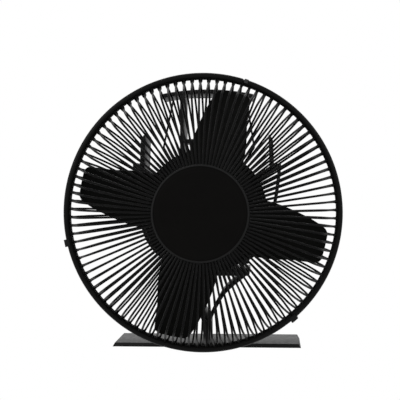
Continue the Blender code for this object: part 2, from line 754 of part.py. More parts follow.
def make_motor_case(steel, plastic, bronze, brass, magnet):
    """Can, end cap, bushes, magnets, brushes, terminals and the set screw that holds the can."""
    inner = MOTOR_RADIUS - MOTOR_WALL
    seat = BUSH_RADIUS + CLEARANCE
    boss_front = motor_front - MOTOR_BOSS_LENGTH
    front_inside = motor_front + MOTOR_WALL
    can = [
        (inner, motor_back), (MOTOR_RADIUS, motor_back), (MOTOR_RADIUS, motor_front),
        (MOTOR_BOSS_RADIUS, motor_front), (MOTOR_BOSS_RADIUS, boss_front), (seat, boss_front),
        (seat, front_inside), (inner, front_inside),
    ]
    bm = bmesh.new()
    add_turned(bm, can, MOTOR_STEPS, ROTOR_ORIGIN)
    make_piece("motor_can", bm, steel, smooth=True)

    cap_back = motor_back - CLEARANCE
    cap_front = cap_back - END_CAP_THICKNESS
    bm = bmesh.new()
    add_turned(bm, tube(seat, inner - CLEARANCE, cap_front, cap_back), MOTOR_STEPS, ROTOR_ORIGIN)
    cap = make_piece("motor_end_cap", bm, plastic, smooth=True)
    slots = make_group("end_cap_slots")
    half_width = TERMINAL_WIDTH / 2
    half_thick = TERMINAL_THICKNESS / 2
    for index, side in enumerate((-1, 1)):
        slot = bmesh.new()
        x = side * TERMINAL_X
        low = (x - half_thick - CLEARANCE, cap_front - CUT_OVERRUN, axis_height - half_width - CLEARANCE)
        high = (x + half_thick + CLEARANCE, cap_back + CUT_OVERRUN, axis_height + half_width + CLEARANCE)
        add_box(slot, low, high)
        make_guide("terminal_slot_%d" % index, slot, slots)
    combine(cap, slots, "DIFFERENCE")

    for name, front in (
        ("motor_front_bush", boss_front + CLEARANCE), ("motor_rear_bush", cap_back - BUSH_LENGTH),
    ):
        bm = bmesh.new()
        profile = tube(shaft_hole_radius, BUSH_RADIUS, front, front + BUSH_LENGTH)
        add_turned(bm, profile, SMALL_STEPS, ROTOR_ORIGIN)
        make_piece(name, bm, bronze, smooth=True)

    outer = inner - CLEARANCE
    middle = core_middle()
    band = arc_band(outer - MAGNET_THICKNESS, outer, -MAGNET_HALF_ANGLE, MAGNET_HALF_ANGLE, ARC_STEPS)
    brush_y = commutator_front() + COMMUTATOR_LENGTH / 2
    near = COMMUTATOR_RADIUS + CLEARANCE
    far = TERMINAL_X - half_thick - CLEARANCE
    half = BRUSH_SIZE / 2
    leaf = BRUSH_LEAF / 2
    brush = [
        (near, -half), (near + BRUSH_SIZE, -half), (near + BRUSH_SIZE, -leaf), (far, -leaf),
        (far, leaf), (near + BRUSH_SIZE, leaf), (near + BRUSH_SIZE, half), (near, half),
    ]
    for side, sign in (("left", -1), ("right", 1)):
        bm = bmesh.new()
        outline = raised([(sign * u, v) for u, v in band], axis_height)
        add_prism(bm, outline, middle - MAGNET_LENGTH / 2, middle + MAGNET_LENGTH / 2)
        make_piece("motor_magnet_" + side, bm, magnet)
        bm = bmesh.new()
        place = Matrix.Translation((0.0, brush_y, axis_height))
        add_prism(bm, [(sign * u, v) for u, v in brush], -half, half, place)
        make_piece("motor_brush_" + side, bm, brass)
        bm = bmesh.new()
        x = sign * TERMINAL_X
        low = (x - half_thick, brush_y - BRUSH_SIZE, axis_height - half_width)
        add_box(bm, low, (x + half_thick, motor_back + TERMINAL_REACH, axis_height + half_width))
        make_piece("motor_terminal_" + side, bm, brass)

    bm = bmesh.new()
    low = hub_bore_radius
    high = low + SET_SCREW_LENGTH
    socket = (SCREW_SOCKET_RADIUS / 2, high - SCREW_SOCKET_DEPTH)
    profile = [
        (0.0, low), (SCREW_RADIUS, low), (SCREW_RADIUS, high), (socket[0], high), socket, (0.0, socket[1]),
    ]
    add_turned(bm, profile, SMALL_STEPS, (0.0, set_screw_y(), axis_height), Z_AXIS)
    make_piece("motor_set_screw", bm, steel, smooth=True)


def core_middle():
    """Middle of the armature along the motor, behind the front bush and the coils' ends."""
    bush_back = motor_front - MOTOR_BOSS_LENGTH + CLEARANCE + BUSH_LENGTH
    return bush_back + COIL_THICKNESS + 2 * CLEARANCE + CORE_LENGTH / 2


def commutator_front():
    """Front end of the commutator, behind the coils' ends."""
    return core_middle() + CORE_LENGTH / 2 + COIL_THICKNESS + 2 * CLEARANCE


def armature_outline(core_radius):
    """Outline of the armature's three poles with their curved shoes."""
    half = POLE_WIDTH / 2
    shoe_inner = core_radius - POLE_SHOE_THICKNESS
    outline = []
    for pole in range(POLE_COUNT):
        turn = 360.0 * pole / POLE_COUNT
        root = sqrt(CORE_HUB_RADIUS ** 2 - half ** 2)
        neck = degrees(asin(half / shoe_inner))
        shares = [step / ARC_STEPS for step in range(ARC_STEPS + 1)]
        inside = [neck + (POLE_HALF_ANGLE - neck) * share for share in shares[::2]]
        spin = Matrix.Rotation(radians(turn), 2)
        outline.append(tuple(spin @ Vector((root, -half))))
        outline += [polar(shoe_inner, turn - angle) for angle in inside]
        outline += [polar(core_radius, turn + POLE_HALF_ANGLE * (2 * share - 1)) for share in shares]
        outline += [polar(shoe_inner, turn + angle) for angle in reversed(inside)]
        outline.append(tuple(spin @ Vector((root, half))))
    return outline


def make_armature(axis, iron, copper, brass, steel):
    """Shaft, laminated core, coils and commutator, which turn with the rotor."""
    magnet_inner = MOTOR_RADIUS - MOTOR_WALL - CLEARANCE - MAGNET_THICKNESS
    core_radius = magnet_inner - CLEARANCE
    middle = core_middle()
    half_length = CORE_LENGTH / 2
    bm = bmesh.new()
    add_prism(bm, armature_outline(core_radius), middle - half_length, middle + half_length)
    core = make_piece("armature_core", bm, iron, parent=axis)
    holes = make_group("armature_hole")
    bm = bmesh.new()
    reach = half_length + CUT_OVERRUN
    add_turned(bm, rod(shaft_hole_radius, middle - reach, middle + reach), SMALL_STEPS, (0.0, 0.0, 0.0))
    make_guide("armature_bore", bm, holes, parent=axis)
    combine(core, holes, "DIFFERENCE")

    inner = (POLE_WIDTH / 2 + CLEARANCE, half_length + CLEARANCE)
    outer = (inner[0] + COIL_THICKNESS, inner[1] + COIL_THICKNESS)
    low = CORE_HUB_RADIUS + CLEARANCE
    high = sqrt((core_radius - POLE_SHOE_THICKNESS) ** 2 - outer[0] ** 2) - 2 * CLEARANCE
    for pole in range(POLE_COUNT):
        spin = Matrix.Rotation(-2 * pi * pole / POLE_COUNT, 4, "Y")
        outward = Matrix(((0, 0, 1, 0), (0, 1, 0, middle), (1, 0, 0, 0), (0, 0, 0, 1)))
        bm = bmesh.new()
        add_frame(bm, inner, outer, low, high, spin @ outward)
        make_piece("armature_coil_%d" % (pole + 1), bm, copper, parent=axis)

    bm = bmesh.new()
    front = commutator_front()
    profile = tube(shaft_hole_radius, COMMUTATOR_RADIUS, front, front + COMMUTATOR_LENGTH)
    add_turned(bm, profile, SMALL_STEPS, (0.0, 0.0, 0.0))
    make_piece("commutator", bm, brass, parent=axis, smooth=True)

    bm = bmesh.new()
    shaft_front = blade_plane - BLADE_SHEET / 2
    shaft_back = motor_back - 2 * CLEARANCE
    add_turned(bm, rod(SHAFT_RADIUS, shaft_front, shaft_back), SMALL_STEPS, (0.0, 0.0, 0.0))
    make_piece("motor_shaft", bm, steel, parent=axis, smooth=True)


def make_leads(red, black):
    """The module's two leads, from its rear edge up to the motor's terminals."""
    for name, side, finish in (("red_lead", 1, red), ("black_lead", -1, black)):
        route = [(side * x, y, z) for x, y, z in LEAD_ROUTE]
        make_wire(name, smooth_path(route, 2), LEAD_DIAMETER, 2, finish)


# Rotor

def blade_points(station, turn):
    """Points across a blade at one station: radius, two half angles and the share of the twist."""
    radius, trailing, leading, twist = station
    pitch = BLADE_ROOT_PITCH + (BLADE_TIP_PITCH - BLADE_ROOT_PITCH) * radius / blade_radius
    points = []
    for step in range(BLADE_CHORD_STEPS + 1):
        across = 2 * step / BLADE_CHORD_STEPS - 1
        angle = turn + (leading if across > 0 else trailing) * across
        offset = radius * sin(radians(angle - turn))
        depth = twist * (offset * tan(radians(pitch)) + BLADE_CAMBER * (1 - across ** 2))
        x, z = polar(radius, angle)
        points.append((x, blade_plane + depth, z))
    return points


def make_blades(axis, finish):
    """Four blades and their middle disc, pressed from one sheet, with rivet holes."""
    root_radius = BLADE_HUB_FLANGE_RADIUS + ROOT_MARGIN
    hole_radius = SPIGOT_RADIUS + CLEARANCE
    bm = bmesh.new()
    root_ring = []
    hole_ring = []
    for blade in range(BLADE_COUNT):
        turn = BLADE_LEAN + 360.0 * blade / BLADE_COUNT
        stations = [(root_radius, BLADE_ROOT_HALF_ANGLE, BLADE_ROOT_HALF_ANGLE, 0.0)]
        stations += [(blade_radius * share, *rest) for share, *rest in BLADE_STATION_SHARES]
        rows = [[bm.verts.new(point) for point in blade_points(station, turn)] for station in stations]
        for near, far in zip(rows, rows[1:]):
            for index in range(BLADE_CHORD_STEPS):
                bm.faces.new((near[index], near[index + 1], far[index + 1], far[index]))
        root_ring += rows[0]
        hole_station = (hole_radius, BLADE_ROOT_HALF_ANGLE, BLADE_ROOT_HALF_ANGLE, 0.0)
        hole_ring += [bm.verts.new(point) for point in blade_points(hole_station, turn)]
    for index in range(len(root_ring)):
        following = (index + 1) % len(root_ring)
        bm.faces.new((hole_ring[index], hole_ring[following], root_ring[following], root_ring[index]))
    blades = make_piece("blade_rotor", bm, finish, parent=axis, smooth=True)
    sheet = blades.modifiers.new("sheet", "SOLIDIFY")
    sheet.thickness = BLADE_SHEET
    sheet.offset = 0.0
    holes = make_group("rivet_holes")
    for index, (x, z) in enumerate(rivet_places()):
        hole = bmesh.new()
        profile = rod(RIVET_RADIUS + CLEARANCE, blade_plane - CUT_OVERRUN, blade_plane + CUT_OVERRUN)
        add_turned(hole, profile, SMALL_STEPS, (x, 0.0, z))
        make_guide("rivet_hole_%d" % index, hole, holes, parent=axis)
    combine(blades, holes, "DIFFERENCE")


def rivet_places():
    """Centres of the rivets in the blade hub's flange, from the fan's axis."""
    circle = (BLADE_HUB_FLANGE_RADIUS + BLADE_HUB_RADIUS) / 2
    return [polar(circle, BLADE_LEAN + 360.0 * index / RIVET_COUNT) for index in range(RIVET_COUNT)]


def make_blade_hub(axis, aluminium, steel):
    """Flanged hub behind the sheet, four rivets through both and a grub screw onto the shaft."""
    flange_front = blade_plane + BLADE_SHEET / 2 + CLEARANCE
    flange_back = flange_front + BLADE_HUB_FLANGE_THICKNESS
    hub_back = flange_back + BLADE_HUB_LENGTH
    spigot_front = blade_plane - BLADE_SHEET / 2 - SPIGOT_REACH
    profile = [
        (shaft_hole_radius, spigot_front), (SPIGOT_RADIUS, spigot_front), (SPIGOT_RADIUS, flange_front),
        (BLADE_HUB_FLANGE_RADIUS, flange_front), (BLADE_HUB_FLANGE_RADIUS, flange_back),
        (BLADE_HUB_RADIUS, flange_back), (BLADE_HUB_RADIUS, hub_back), (shaft_hole_radius, hub_back),
    ]
    bm = bmesh.new()
    add_turned(bm, profile, HUB_STEPS, (0.0, 0.0, 0.0))
    hub = make_piece("blade_hub", bm, aluminium, parent=axis, smooth=True)
    holes = make_group("blade_hub_holes")
    for index, (x, z) in enumerate(rivet_places()):
        hole = bmesh.new()
        profile = rod(RIVET_RADIUS + CLEARANCE, flange_front - CLEARANCE / 2, flange_back + CUT_OVERRUN)
        add_turned(hole, profile, SMALL_STEPS, (x, 0.0, z))
        make_guide("flange_hole_%d" % index, hole, holes, parent=axis)
    grub_y = (flange_back + hub_back) / 2
    hole = bmesh.new()
    profile = rod(screw_hole_radius, 0.0, BLADE_HUB_RADIUS + CUT_OVERRUN)
    add_turned(hole, profile, SMALL_STEPS, (0.0, grub_y, 0.0), Z_AXIS)
    make_guide("grub_hole", hole, holes, parent=axis)
    combine(hub, holes, "DIFFERENCE")

    front = blade_plane - BLADE_SHEET / 2 - CLEARANCE
    back = flange_back + CLEARANCE
    rivet = [
        (0.0, front - RIVET_HEAD_HEIGHT), (RIVET_HEAD_RADIUS, front - RIVET_HEAD_HEIGHT / 2),
        (RIVET_HEAD_RADIUS, front), (RIVET_RADIUS, front), (RIVET_RADIUS, back), (RIVET_HEAD_RADIUS, back),
        (RIVET_HEAD_RADIUS, back + RIVET_HEAD_HEIGHT / 2), (0.0, back + RIVET_HEAD_HEIGHT),
    ]
    for index, (x, z) in enumerate(rivet_places()):
        bm = bmesh.new()
        add_turned(bm, rivet, SMALL_STEPS, (x, 0.0, z))
        make_piece("hub_rivet_%d" % (index + 1), bm, aluminium, parent=axis, smooth=True)

    bm = bmesh.new()
    low = SHAFT_RADIUS + CLEARANCE
    add_turned(bm, rod(SCREW_RADIUS, low, low + GRUB_SCREW_LENGTH), SMALL_STEPS, (0.0, grub_y, 0.0), Z_AXIS)
    make_piece("hub_grub_screw", bm, steel, parent=axis, smooth=True)


# Cage

def bar_corners(path):
    """Corners of a square bar at each point of its (radius, Y) path: radius, Y and distance aside."""
    half = bar_side / 2
    points = [Vector(point) for point in path]
    corners = []
    for index, point in enumerate(points):
        before = points[max(index - 1, 0)]
        after = points[min(index + 1, len(points) - 1)]
        direction = (after - before).normalized()
        inner = point + Vector((-direction.y, direction.x)) * half
        outer = point - Vector((-direction.y, direction.x)) * half
        if inner.x > outer.x:
            inner, outer = outer, inner
        corners.append(((outer.x, outer.y, -half), (outer.x, outer.y, half),
                        (inner.x, inner.y, half), (inner.x, inner.y, -half)))
    return corners


def placed_round(radius, y, aside, turn):
    """Point of the cage at a radius and a turn, moved aside along the tangent."""
    x = radius * cos(turn) - aside * sin(turn)
    z = radius * sin(turn) + aside * cos(turn)
    return (x, y, z + cage_height)


def bridge(bm, near, far):
    """Join two rings of corners by faces."""
    for index in range(len(near)):
        following = (index + 1) % len(near)
        bm.faces.new((near[index], near[following], far[following], far[index]))


def make_guard(name, ring_y, path, outward, seam, finish):
    """Half of the cage: a wire ring with a square bar welded to its inner side at each station.

    The bars follow a path of (radius, Y) points, and outward is the side along Y to which they bow. With a
    seam, the ring's two ends leave a narrow gap between the two bars nearest to the seam's angle.
    """
    half = bar_side / 2
    reach = RING_WIRE / 2
    flat = outward * reach * RING_FLAT_SHARE
    section = [
        (-reach, -flat), (0.0, -outward * reach), (reach, -flat),
        (reach, flat), (0.0, outward * reach), (-reach, flat),
    ]
    corners = bar_corners(path)
    pitch = 2 * pi / BAR_COUNT
    seam_after = int((radians(SEAM_ANGLE) - radians(BAR_PHASE)) // pitch)
    bm = bmesh.new()
    stations = []
    for bar in range(BAR_COUNT):
        turn = radians(BAR_PHASE) + pitch * bar
        pair = []
        for aside in (-half, half):
            places = [placed_round(ring_radius + out, ring_y + y, aside, turn) for out, y in section]
            pair.append([bm.verts.new(place) for place in places])
        first, second = pair
        for index in range(len(section) - 1):
            bm.faces.new((first[index], first[index + 1], second[index + 1], second[index]))
        base = [first[-1], second[-1], second[0], first[0]]
        for square in corners:
            ring = [bm.verts.new(placed_round(radius, y, aside, turn)) for radius, y, aside in square]
            bridge(bm, base, ring)
            base = ring
        bm.faces.new(base)
        stations.append(pair)
    for bar in range(BAR_COUNT):
        near = stations[bar][1]
        far = stations[(bar + 1) % BAR_COUNT][0]
        if not seam or bar != seam_after:
            bridge(bm, near, far)
            continue
        for end, side in ((near, -1), (far, 1)):
            turn = radians(SEAM_ANGLE) + side * RING_SEAM / 2 / ring_radius
            places = [placed_round(ring_radius + out, ring_y + y, 0.0, turn) for out, y in section]
            ring = [bm.verts.new(place) for place in places]
            bridge(bm, end, ring)
            bm.faces.new(ring)
    make_piece(name, bm, finish)


def make_clip(name, angle, width, thickness, finish):
    """A clip that wraps both rings from outside, with its two lips pointing to the cage's middle."""
    inner_end = CAGE_RADIUS + CLEARANCE - CLIP_GRIP
    cavity = CAGE_RADIUS + CLEARANCE
    back = cavity + thickness
    low = front_ring_y - RING_WIRE / 2 - CLEARANCE
    high = rear_ring_y + RING_WIRE / 2 + CLEARANCE
    outline = [
        (inner_end, low - thickness), (back, low - thickness), (back, high + thickness),
        (inner_end, high + thickness), (inner_end, high), (cavity, high), (cavity, low), (inner_end, low),
    ]
    turn = radians(angle)
    place = Matrix((
        (cos(turn), 0, -sin(turn), 0), (0, 1, 0, 0), (sin(turn), 0, cos(turn), cage_height), (0, 0, 0, 1)))
    bm = bmesh.new()
    add_prism(bm, outline, -width / 2, width / 2, place)
    make_piece(name, bm, finish)


def make_cage(finish):
    """Two halves of wire, the front disc, the rear plate and the clips."""
    front = [(bar_rim_radius * out, front_ring_y - FRONT_BOW * bow) for out, bow in FRONT_BAR_SHARES]
    front.append((FRONT_DISC_RADIUS - BAR_OVERLAP, front_bar_y))
    make_guard("front_guard_wires", front_ring_y, front, -1, True, finish)
    rear = [(bar_rim_radius * out, rear_ring_y + REAR_BOW * bow) for out, bow in REAR_BAR_SHARES]
    rear.append((REAR_PLATE_RADIUS - BAR_OVERLAP, rear_bar_y))
    make_guard("rear_guard_wires", rear_ring_y, rear, 1, False, finish)

    centre = (0.0, 0.0, cage_height)
    rim = FRONT_DISC_THICKNESS / 2
    disc = [
        (0.0, disc_back - FRONT_DISC_THICKNESS), (FRONT_DISC_RADIUS - rim, disc_back - FRONT_DISC_THICKNESS),
        (FRONT_DISC_RADIUS, disc_back - rim), (FRONT_DISC_RADIUS, disc_back), (0.0, disc_back),
    ]
    bm = bmesh.new()
    add_turned(bm, disc, LARGE_STEPS, centre)
    make_piece("front_guard_disc", bm, finish, smooth=True)

    bm = bmesh.new()
    add_turned(bm, rod(REAR_PLATE_RADIUS, rear_plate_front, rear_plate_back), LARGE_STEPS, centre)
    plate = make_piece("rear_guard_plate", bm, finish, smooth=True)
    holes = make_group("rear_plate_holes")
    front = rear_plate_front - CUT_OVERRUN
    back = rear_plate_back + CUT_OVERRUN
    for corner, (x, z) in boss_places().items():
        hole = bmesh.new()
        add_turned(hole, rod(screw_hole_radius, front, back), SMALL_STEPS, (x, 0.0, axis_height + z))
        make_guide("plate_hole_" + corner, hole, holes)
    hole = bmesh.new()
    add_turned(hole, rod(SHAFT_OPENING_RADIUS, front, back), HUB_STEPS, ROTOR_ORIGIN)
    make_guide("shaft_opening", hole, holes)
    combine(plate, holes, "DIFFERENCE")

    make_clip("guard_clip_left", LEFT_CLIP_ANGLE, CLIP_WIDTH, CLIP_THICKNESS, finish)
    make_clip("guard_clip_right", RIGHT_CLIP_ANGLE, CLIP_WIDTH, CLIP_THICKNESS, finish)
    make_clip("guard_latch", LATCH_ANGLE, LATCH_WIDTH, LATCH_THICKNESS, finish)


def make_cage_supports(aluminium, steel):
    """Four standoffs between the cold body and the rear plate, and the screws into them."""
    front = rear_plate_back + CLEARANCE
    back = cold_front - CLEARANCE
    bore = front + STANDOFF_THREAD_DEPTH
    stud_back = back + STANDOFF_STUD_LENGTH
    standoff = [
        (screw_hole_radius, front), (STANDOFF_RADIUS, front), (STANDOFF_RADIUS, back), (SCREW_RADIUS, back),
        (SCREW_RADIUS, stud_back), (0.0, stud_back), (0.0, bore), (screw_hole_radius, bore),
    ]
    head_back = rear_plate_front - CLEARANCE
    head_front = head_back - GUARD_SCREW_HEAD_HEIGHT
    tip = front + GUARD_SCREW_REACH
    screw = [
        (0.0, head_front), (SCREW_HEAD_RADIUS - GUARD_SCREW_HEAD_HEIGHT / 2, head_front),
        (SCREW_HEAD_RADIUS, head_back - GUARD_SCREW_HEAD_HEIGHT / 2), (SCREW_HEAD_RADIUS, head_back),
        (SCREW_RADIUS, head_back), (SCREW_RADIUS, tip), (0.0, tip),
    ]
    for name, profile, finish in (("guard_standoff_", standoff, aluminium), ("guard_screw_", screw, steel)):
        for corner, (x, z) in boss_places().items():
            bm = bmesh.new()
            add_turned(bm, profile, SMALL_STEPS, (x, 0.0, axis_height + z))
            make_piece(name + corner, bm, finish, smooth=True)


# Carry handle

def make_handle(axis, finish):
    """Wire bail with its ends in the vertical fins, leaning on the top bar, or on the fins where short."""
    behind = COLD_DEPTH / 2 + CLEARANCE + HANDLE_WIRE / 2
    bar_low = top_bar_height(HANDLE_SHOULDER_X) - TOP_BAR_THICKNESS
    lean = max(atan2(behind, bar_low - HANDLE_PIVOT_RISE - HANDLE_WIRE), asin(behind / HANDLE_LENGTH))
    pin = VERTICAL_FIN_X - VERTICAL_FIN_THICKNESS / 2 - HANDLE_PIN_PROUD
    foot = VERTICAL_FIN_X + VERTICAL_FIN_THICKNESS / 2 + HANDLE_FOOT_OUT
    flat = [
        (pin, 0.0), (foot, 0.0), (HANDLE_WAIST_X, HANDLE_WAIST_RISE), (HANDLE_SHOULDER_X, HANDLE_LENGTH),
        (-HANDLE_SHOULDER_X, HANDLE_LENGTH), (-HANDLE_WAIST_X, HANDLE_WAIST_RISE), (-foot, 0.0), (-pin, 0.0),
    ]
    bent = round_corners(flat, HANDLE_BEND, 4)
    points = [(u, v * sin(lean), v * cos(lean)) for u, v in bent]
    make_wire("carry_handle", points, HANDLE_WIRE, 2, finish, parent=axis)


def build():
    """Make the whole stove fan."""
    clear_scene()
    black_metal = make_finish("black_metal", (0.012, 0.012, 0.012), 0.5, 0.6)
    black_wire = make_finish("black_wire", (0.008, 0.008, 0.008), 0.45, 0.4)
    black_sheet = make_finish("black_sheet", (0.010, 0.010, 0.010), 0.55, 0.4)
    bare_aluminium = make_finish("bare_aluminium", (0.6, 0.6, 0.61), 0.35, 0.9)
    steel = make_finish("steel", (0.5, 0.5, 0.5), 0.35, 0.9)
    dark_steel = make_finish("dark_steel", (0.03, 0.03, 0.03), 0.4, 0.9)
    iron = make_finish("iron", (0.2, 0.2, 0.2), 0.5, 0.8)
    copper = make_finish("copper", (0.5, 0.2, 0.08), 0.35, 0.9)
    brass = make_finish("brass", (0.6, 0.45, 0.15), 0.35, 0.9)
    ceramic = make_finish("ceramic", (0.85, 0.85, 0.82), 0.5, 0.0)
    pad = make_finish("graphite_pad", (0.08, 0.08, 0.085), 0.8, 0.0)
    element = make_finish("semiconductor", (0.18, 0.18, 0.2), 0.4, 0.5)
    rubber = make_finish("seal_rubber", (0.7, 0.7, 0.68), 0.7, 0.0)
    plastic = make_finish("black_plastic", (0.02, 0.02, 0.02), 0.6, 0.0)
    insulator = make_finish("insulator", (0.55, 0.42, 0.25), 0.7, 0.0)
    red = make_finish("red_silicone", (0.45, 0.02, 0.02), 0.5, 0.0)
    black = make_finish("black_silicone", (0.015, 0.015, 0.015), 0.5, 0.0)

    rotor_axis = make_axis("rotor_axis", ROTOR_ORIGIN)
    handle_axis = make_axis("handle_axis", HANDLE_ORIGIN)
    make_hot_body(black_metal)
    make_module(pad, ceramic, element, rubber)
    make_clamp(dark_steel, steel, insulator)
    make_cold_body(black_metal)
    make_motor_case(steel, plastic, brass, brass, iron)
    make_armature(rotor_axis, iron, copper, brass, steel)
    make_leads(red, black)
    make_blades(rotor_axis, black_sheet)
    make_blade_hub(rotor_axis, bare_aluminium, dark_steel)
    make_cage(black_wire)
    make_cage_supports(bare_aluminium, dark_steel)
    make_handle(handle_axis, black_wire)


build()
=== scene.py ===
"""Looks of a stove fan that the heat of its stove drives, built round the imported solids.

Metres, +Z up, and the cage faces -Y. Every visible solid gets a finer piece with rounded edges, round
wires, welds, threads and sockets, and a node-based finish. What is sealed inside keeps its solid.
"""
import logging
from dataclasses import dataclass
from enum import Enum
from math import atan2, cos, pi, radians, sin, tan
from typing import Optional, Sequence

import bmesh
import bpy
from mathutils import Matrix, Vector


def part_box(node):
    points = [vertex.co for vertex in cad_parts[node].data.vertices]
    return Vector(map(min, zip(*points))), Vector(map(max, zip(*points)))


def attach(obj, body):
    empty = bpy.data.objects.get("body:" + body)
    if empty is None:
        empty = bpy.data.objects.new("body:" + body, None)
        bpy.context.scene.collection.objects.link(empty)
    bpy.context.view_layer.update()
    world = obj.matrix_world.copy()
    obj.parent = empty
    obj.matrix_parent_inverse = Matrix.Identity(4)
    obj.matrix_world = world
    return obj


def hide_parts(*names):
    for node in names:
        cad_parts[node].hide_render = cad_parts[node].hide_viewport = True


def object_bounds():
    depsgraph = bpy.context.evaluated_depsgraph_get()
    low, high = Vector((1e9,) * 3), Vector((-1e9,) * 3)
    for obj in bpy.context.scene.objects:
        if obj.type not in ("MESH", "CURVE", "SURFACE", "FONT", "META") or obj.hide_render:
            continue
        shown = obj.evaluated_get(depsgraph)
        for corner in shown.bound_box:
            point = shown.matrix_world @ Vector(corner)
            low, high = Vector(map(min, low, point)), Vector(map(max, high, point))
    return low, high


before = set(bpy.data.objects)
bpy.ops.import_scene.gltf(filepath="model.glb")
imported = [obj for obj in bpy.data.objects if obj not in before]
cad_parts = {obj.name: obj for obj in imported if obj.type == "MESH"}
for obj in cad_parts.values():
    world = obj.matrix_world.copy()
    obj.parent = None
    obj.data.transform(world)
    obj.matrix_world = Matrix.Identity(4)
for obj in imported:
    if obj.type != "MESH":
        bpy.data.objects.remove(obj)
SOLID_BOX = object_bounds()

Pair = tuple[float, float]
Triple = tuple[float, float, float]
Outline = list[Pair]
Socket = bpy.types.NodeSocket
# Constants and other nodes' outputs, by the name or number of the input that they go to
Feeds = dict[str | int, object]

log = logging.getLogger("stove_fan")

# Names of the two sides, and the sign of X there
SIDES = {"left": -1, "right": 1}
X_AXIS: Triple = (1.0, 0.0, 0.0)
Y_AXIS: Triple = (0.0, 1.0, 0.0)
Z_AXIS: Triple = (0.0, 0.0, 1.0)
# Carries an outline's own x, y and depth to X, Z and Y
ALONG_Y = Matrix(((1, 0, 0, 0), (0, 0, 1, 0), (0, 1, 0, 0), (0, 0, 0, 1)))
# Carries an outline's own x, y and depth to Y, Z and X
ALONG_X = Matrix(((0, 0, 1, 0), (1, 0, 0, 0), (0, 1, 0, 0), (0, 0, 0, 1)))
# Edges between faces that meet at more than this many degrees are rounded
ROUNDED_ANGLE = 30.0
# Faces flatter to each other than this many degrees are joined before rounding
FLAT_ANGLE = 0.5
ROUND_STEPS = 2
# Corners closer than this are one corner
MERGE_DISTANCE = 0.000002
# Most of an edge that the rounding of one of its corners takes
MOST_ROUNDED = 0.45
# Radius of a wire's end face, as a share of the wire's
WIRE_END = 0.62
CUT_OVERRUN = 0.002
HOLE_STEPS = 24
CLEARANCE = 0.0003
SCREW_HOLE = 0.0018
CAGE_RADIUS = 0.095
RING_WIRE = 0.0045
PLATFORM_EDGE = 0.0027
MOTOR_BOSS_LENGTH = 0.0025
# Range that most of a noise's values lie in
NOISE_RANGE: Pair = (0.3, 0.7)
# Numbers of the mix node's two colours and of its result
MIX_FIRST, MIX_SECOND, MIX_RESULT = 6, 7, 2
WHITE = (1.0, 1.0, 1.0, 1.0)


class Body(Enum):
    """The bodies that the fan's pieces ride on."""

    FRAME = "frame"
    ROTOR = "rotor"
    HANDLE = "handle"


class Slot(Enum):
    """The record's material slots."""

    EXTRUSION = "black_extrusion"
    WIRE = "black_wire"
    DISC = "black_disc"
    CLIP = "black_clip"
    BLADES = "black_blades"
    HANDLE = "handle_wire"
    SCREW = "black_screw"
    ALUMINIUM = "bare_aluminium"
    STEEL = "steel"
    IRON = "armature_iron"
    MAGNET = "magnet"
    BRONZE = "bronze"
    BRASS = "contact_brass"
    COPPER = "copper"
    PLASTIC = "black_plastic"
    INSULATOR = "insulator"
    CERAMIC = "module_ceramic"
    SEMICONDUCTOR = "semiconductor"
    SEAL = "module_seal"
    PAD = "heat_pad"
    RED_LEAD = "red_silicone"
    BLACK_LEAD = "black_silicone"


class Shading(Enum):
    """Angle in degrees up to which faces shade as one, by how a piece is made."""

    MACHINED = 30.0
    TURNED = 35.0
    DRAWN = 40.0
    BENT = 50.0
    ROUND = 60.0


class Marks(Enum):
    """Lines that a metal's making leaves, as the wave texture's type and direction."""

    TURNED = ("RINGS", "Y")
    STACKED = ("BANDS", "Y")
    SAWN = ("BANDS", "X")
    WOUND = ("BANDS", "DIAGONAL")


class Joining(Enum):
    """What is done to a piece with other shapes."""

    ADD = "UNION"
    CUT = "DIFFERENCE"


# Finishes


def grey(level: float) -> Triple:
    """Return a neutral colour."""
    return (level, level, level)


class NodeTree:
    """A node tree with short calls for adding and joining nodes."""

    def __init__(self, tree: bpy.types.NodeTree) -> None:
        """Keep the tree."""
        self.tree = tree

    def feed(self, node: bpy.types.Node, feeds: Feeds) -> bpy.types.Node:
        """Set a node's inputs, or join outputs to them.

        Args:
            node: The node.
            feeds: A constant or an output for each input.

        Returns:
            The node.
        """
        for name, value in feeds.items():
            if isinstance(value, Socket):
                self.tree.links.new(value, node.inputs[name])
            else:
                node.inputs[name].default_value = value
        return node

    def add(self, kind: str, feeds: Optional[Feeds] = None, **settings: object) -> bpy.types.Node:
        """Add a node.

        Args:
            kind: Blender's name of the node's type.
            feeds: A constant or an output for each input that isn't left as it is.
            settings: Properties to set on the node.

        Returns:
            The node.
        """
        node = self.tree.nodes.new(kind)
        for name, value in settings.items():
            setattr(node, name, value)
        return self.feed(node, feeds or {})

    def divide(self, lit: bpy.types.Node, seen: bpy.types.Node, output: str) -> None:
        """Give the camera's, mirrored and refracted rays one shader, and all other rays another.

        Args:
            lit: The shader for all other rays.
            seen: The shader for the camera's, mirrored and refracted rays.
            output: Name of the tree's output node.
        """
        path = self.add("ShaderNodeLightPath")
        share = path.outputs["Is Camera Ray"]
        for name in ("Is Glossy Ray", "Is Transmission Ray"):
            step = self.add("ShaderNodeMath", {0: share, 1: path.outputs[name]}, operation="MAXIMUM")
            share = step.outputs["Value"]
        mix = self.add("ShaderNodeMixShader", {"Fac": share, 1: lit.outputs[0], 2: seen.outputs[0]})
        self.feed(self.tree.nodes[output], {"Surface": mix.outputs["Shader"]})


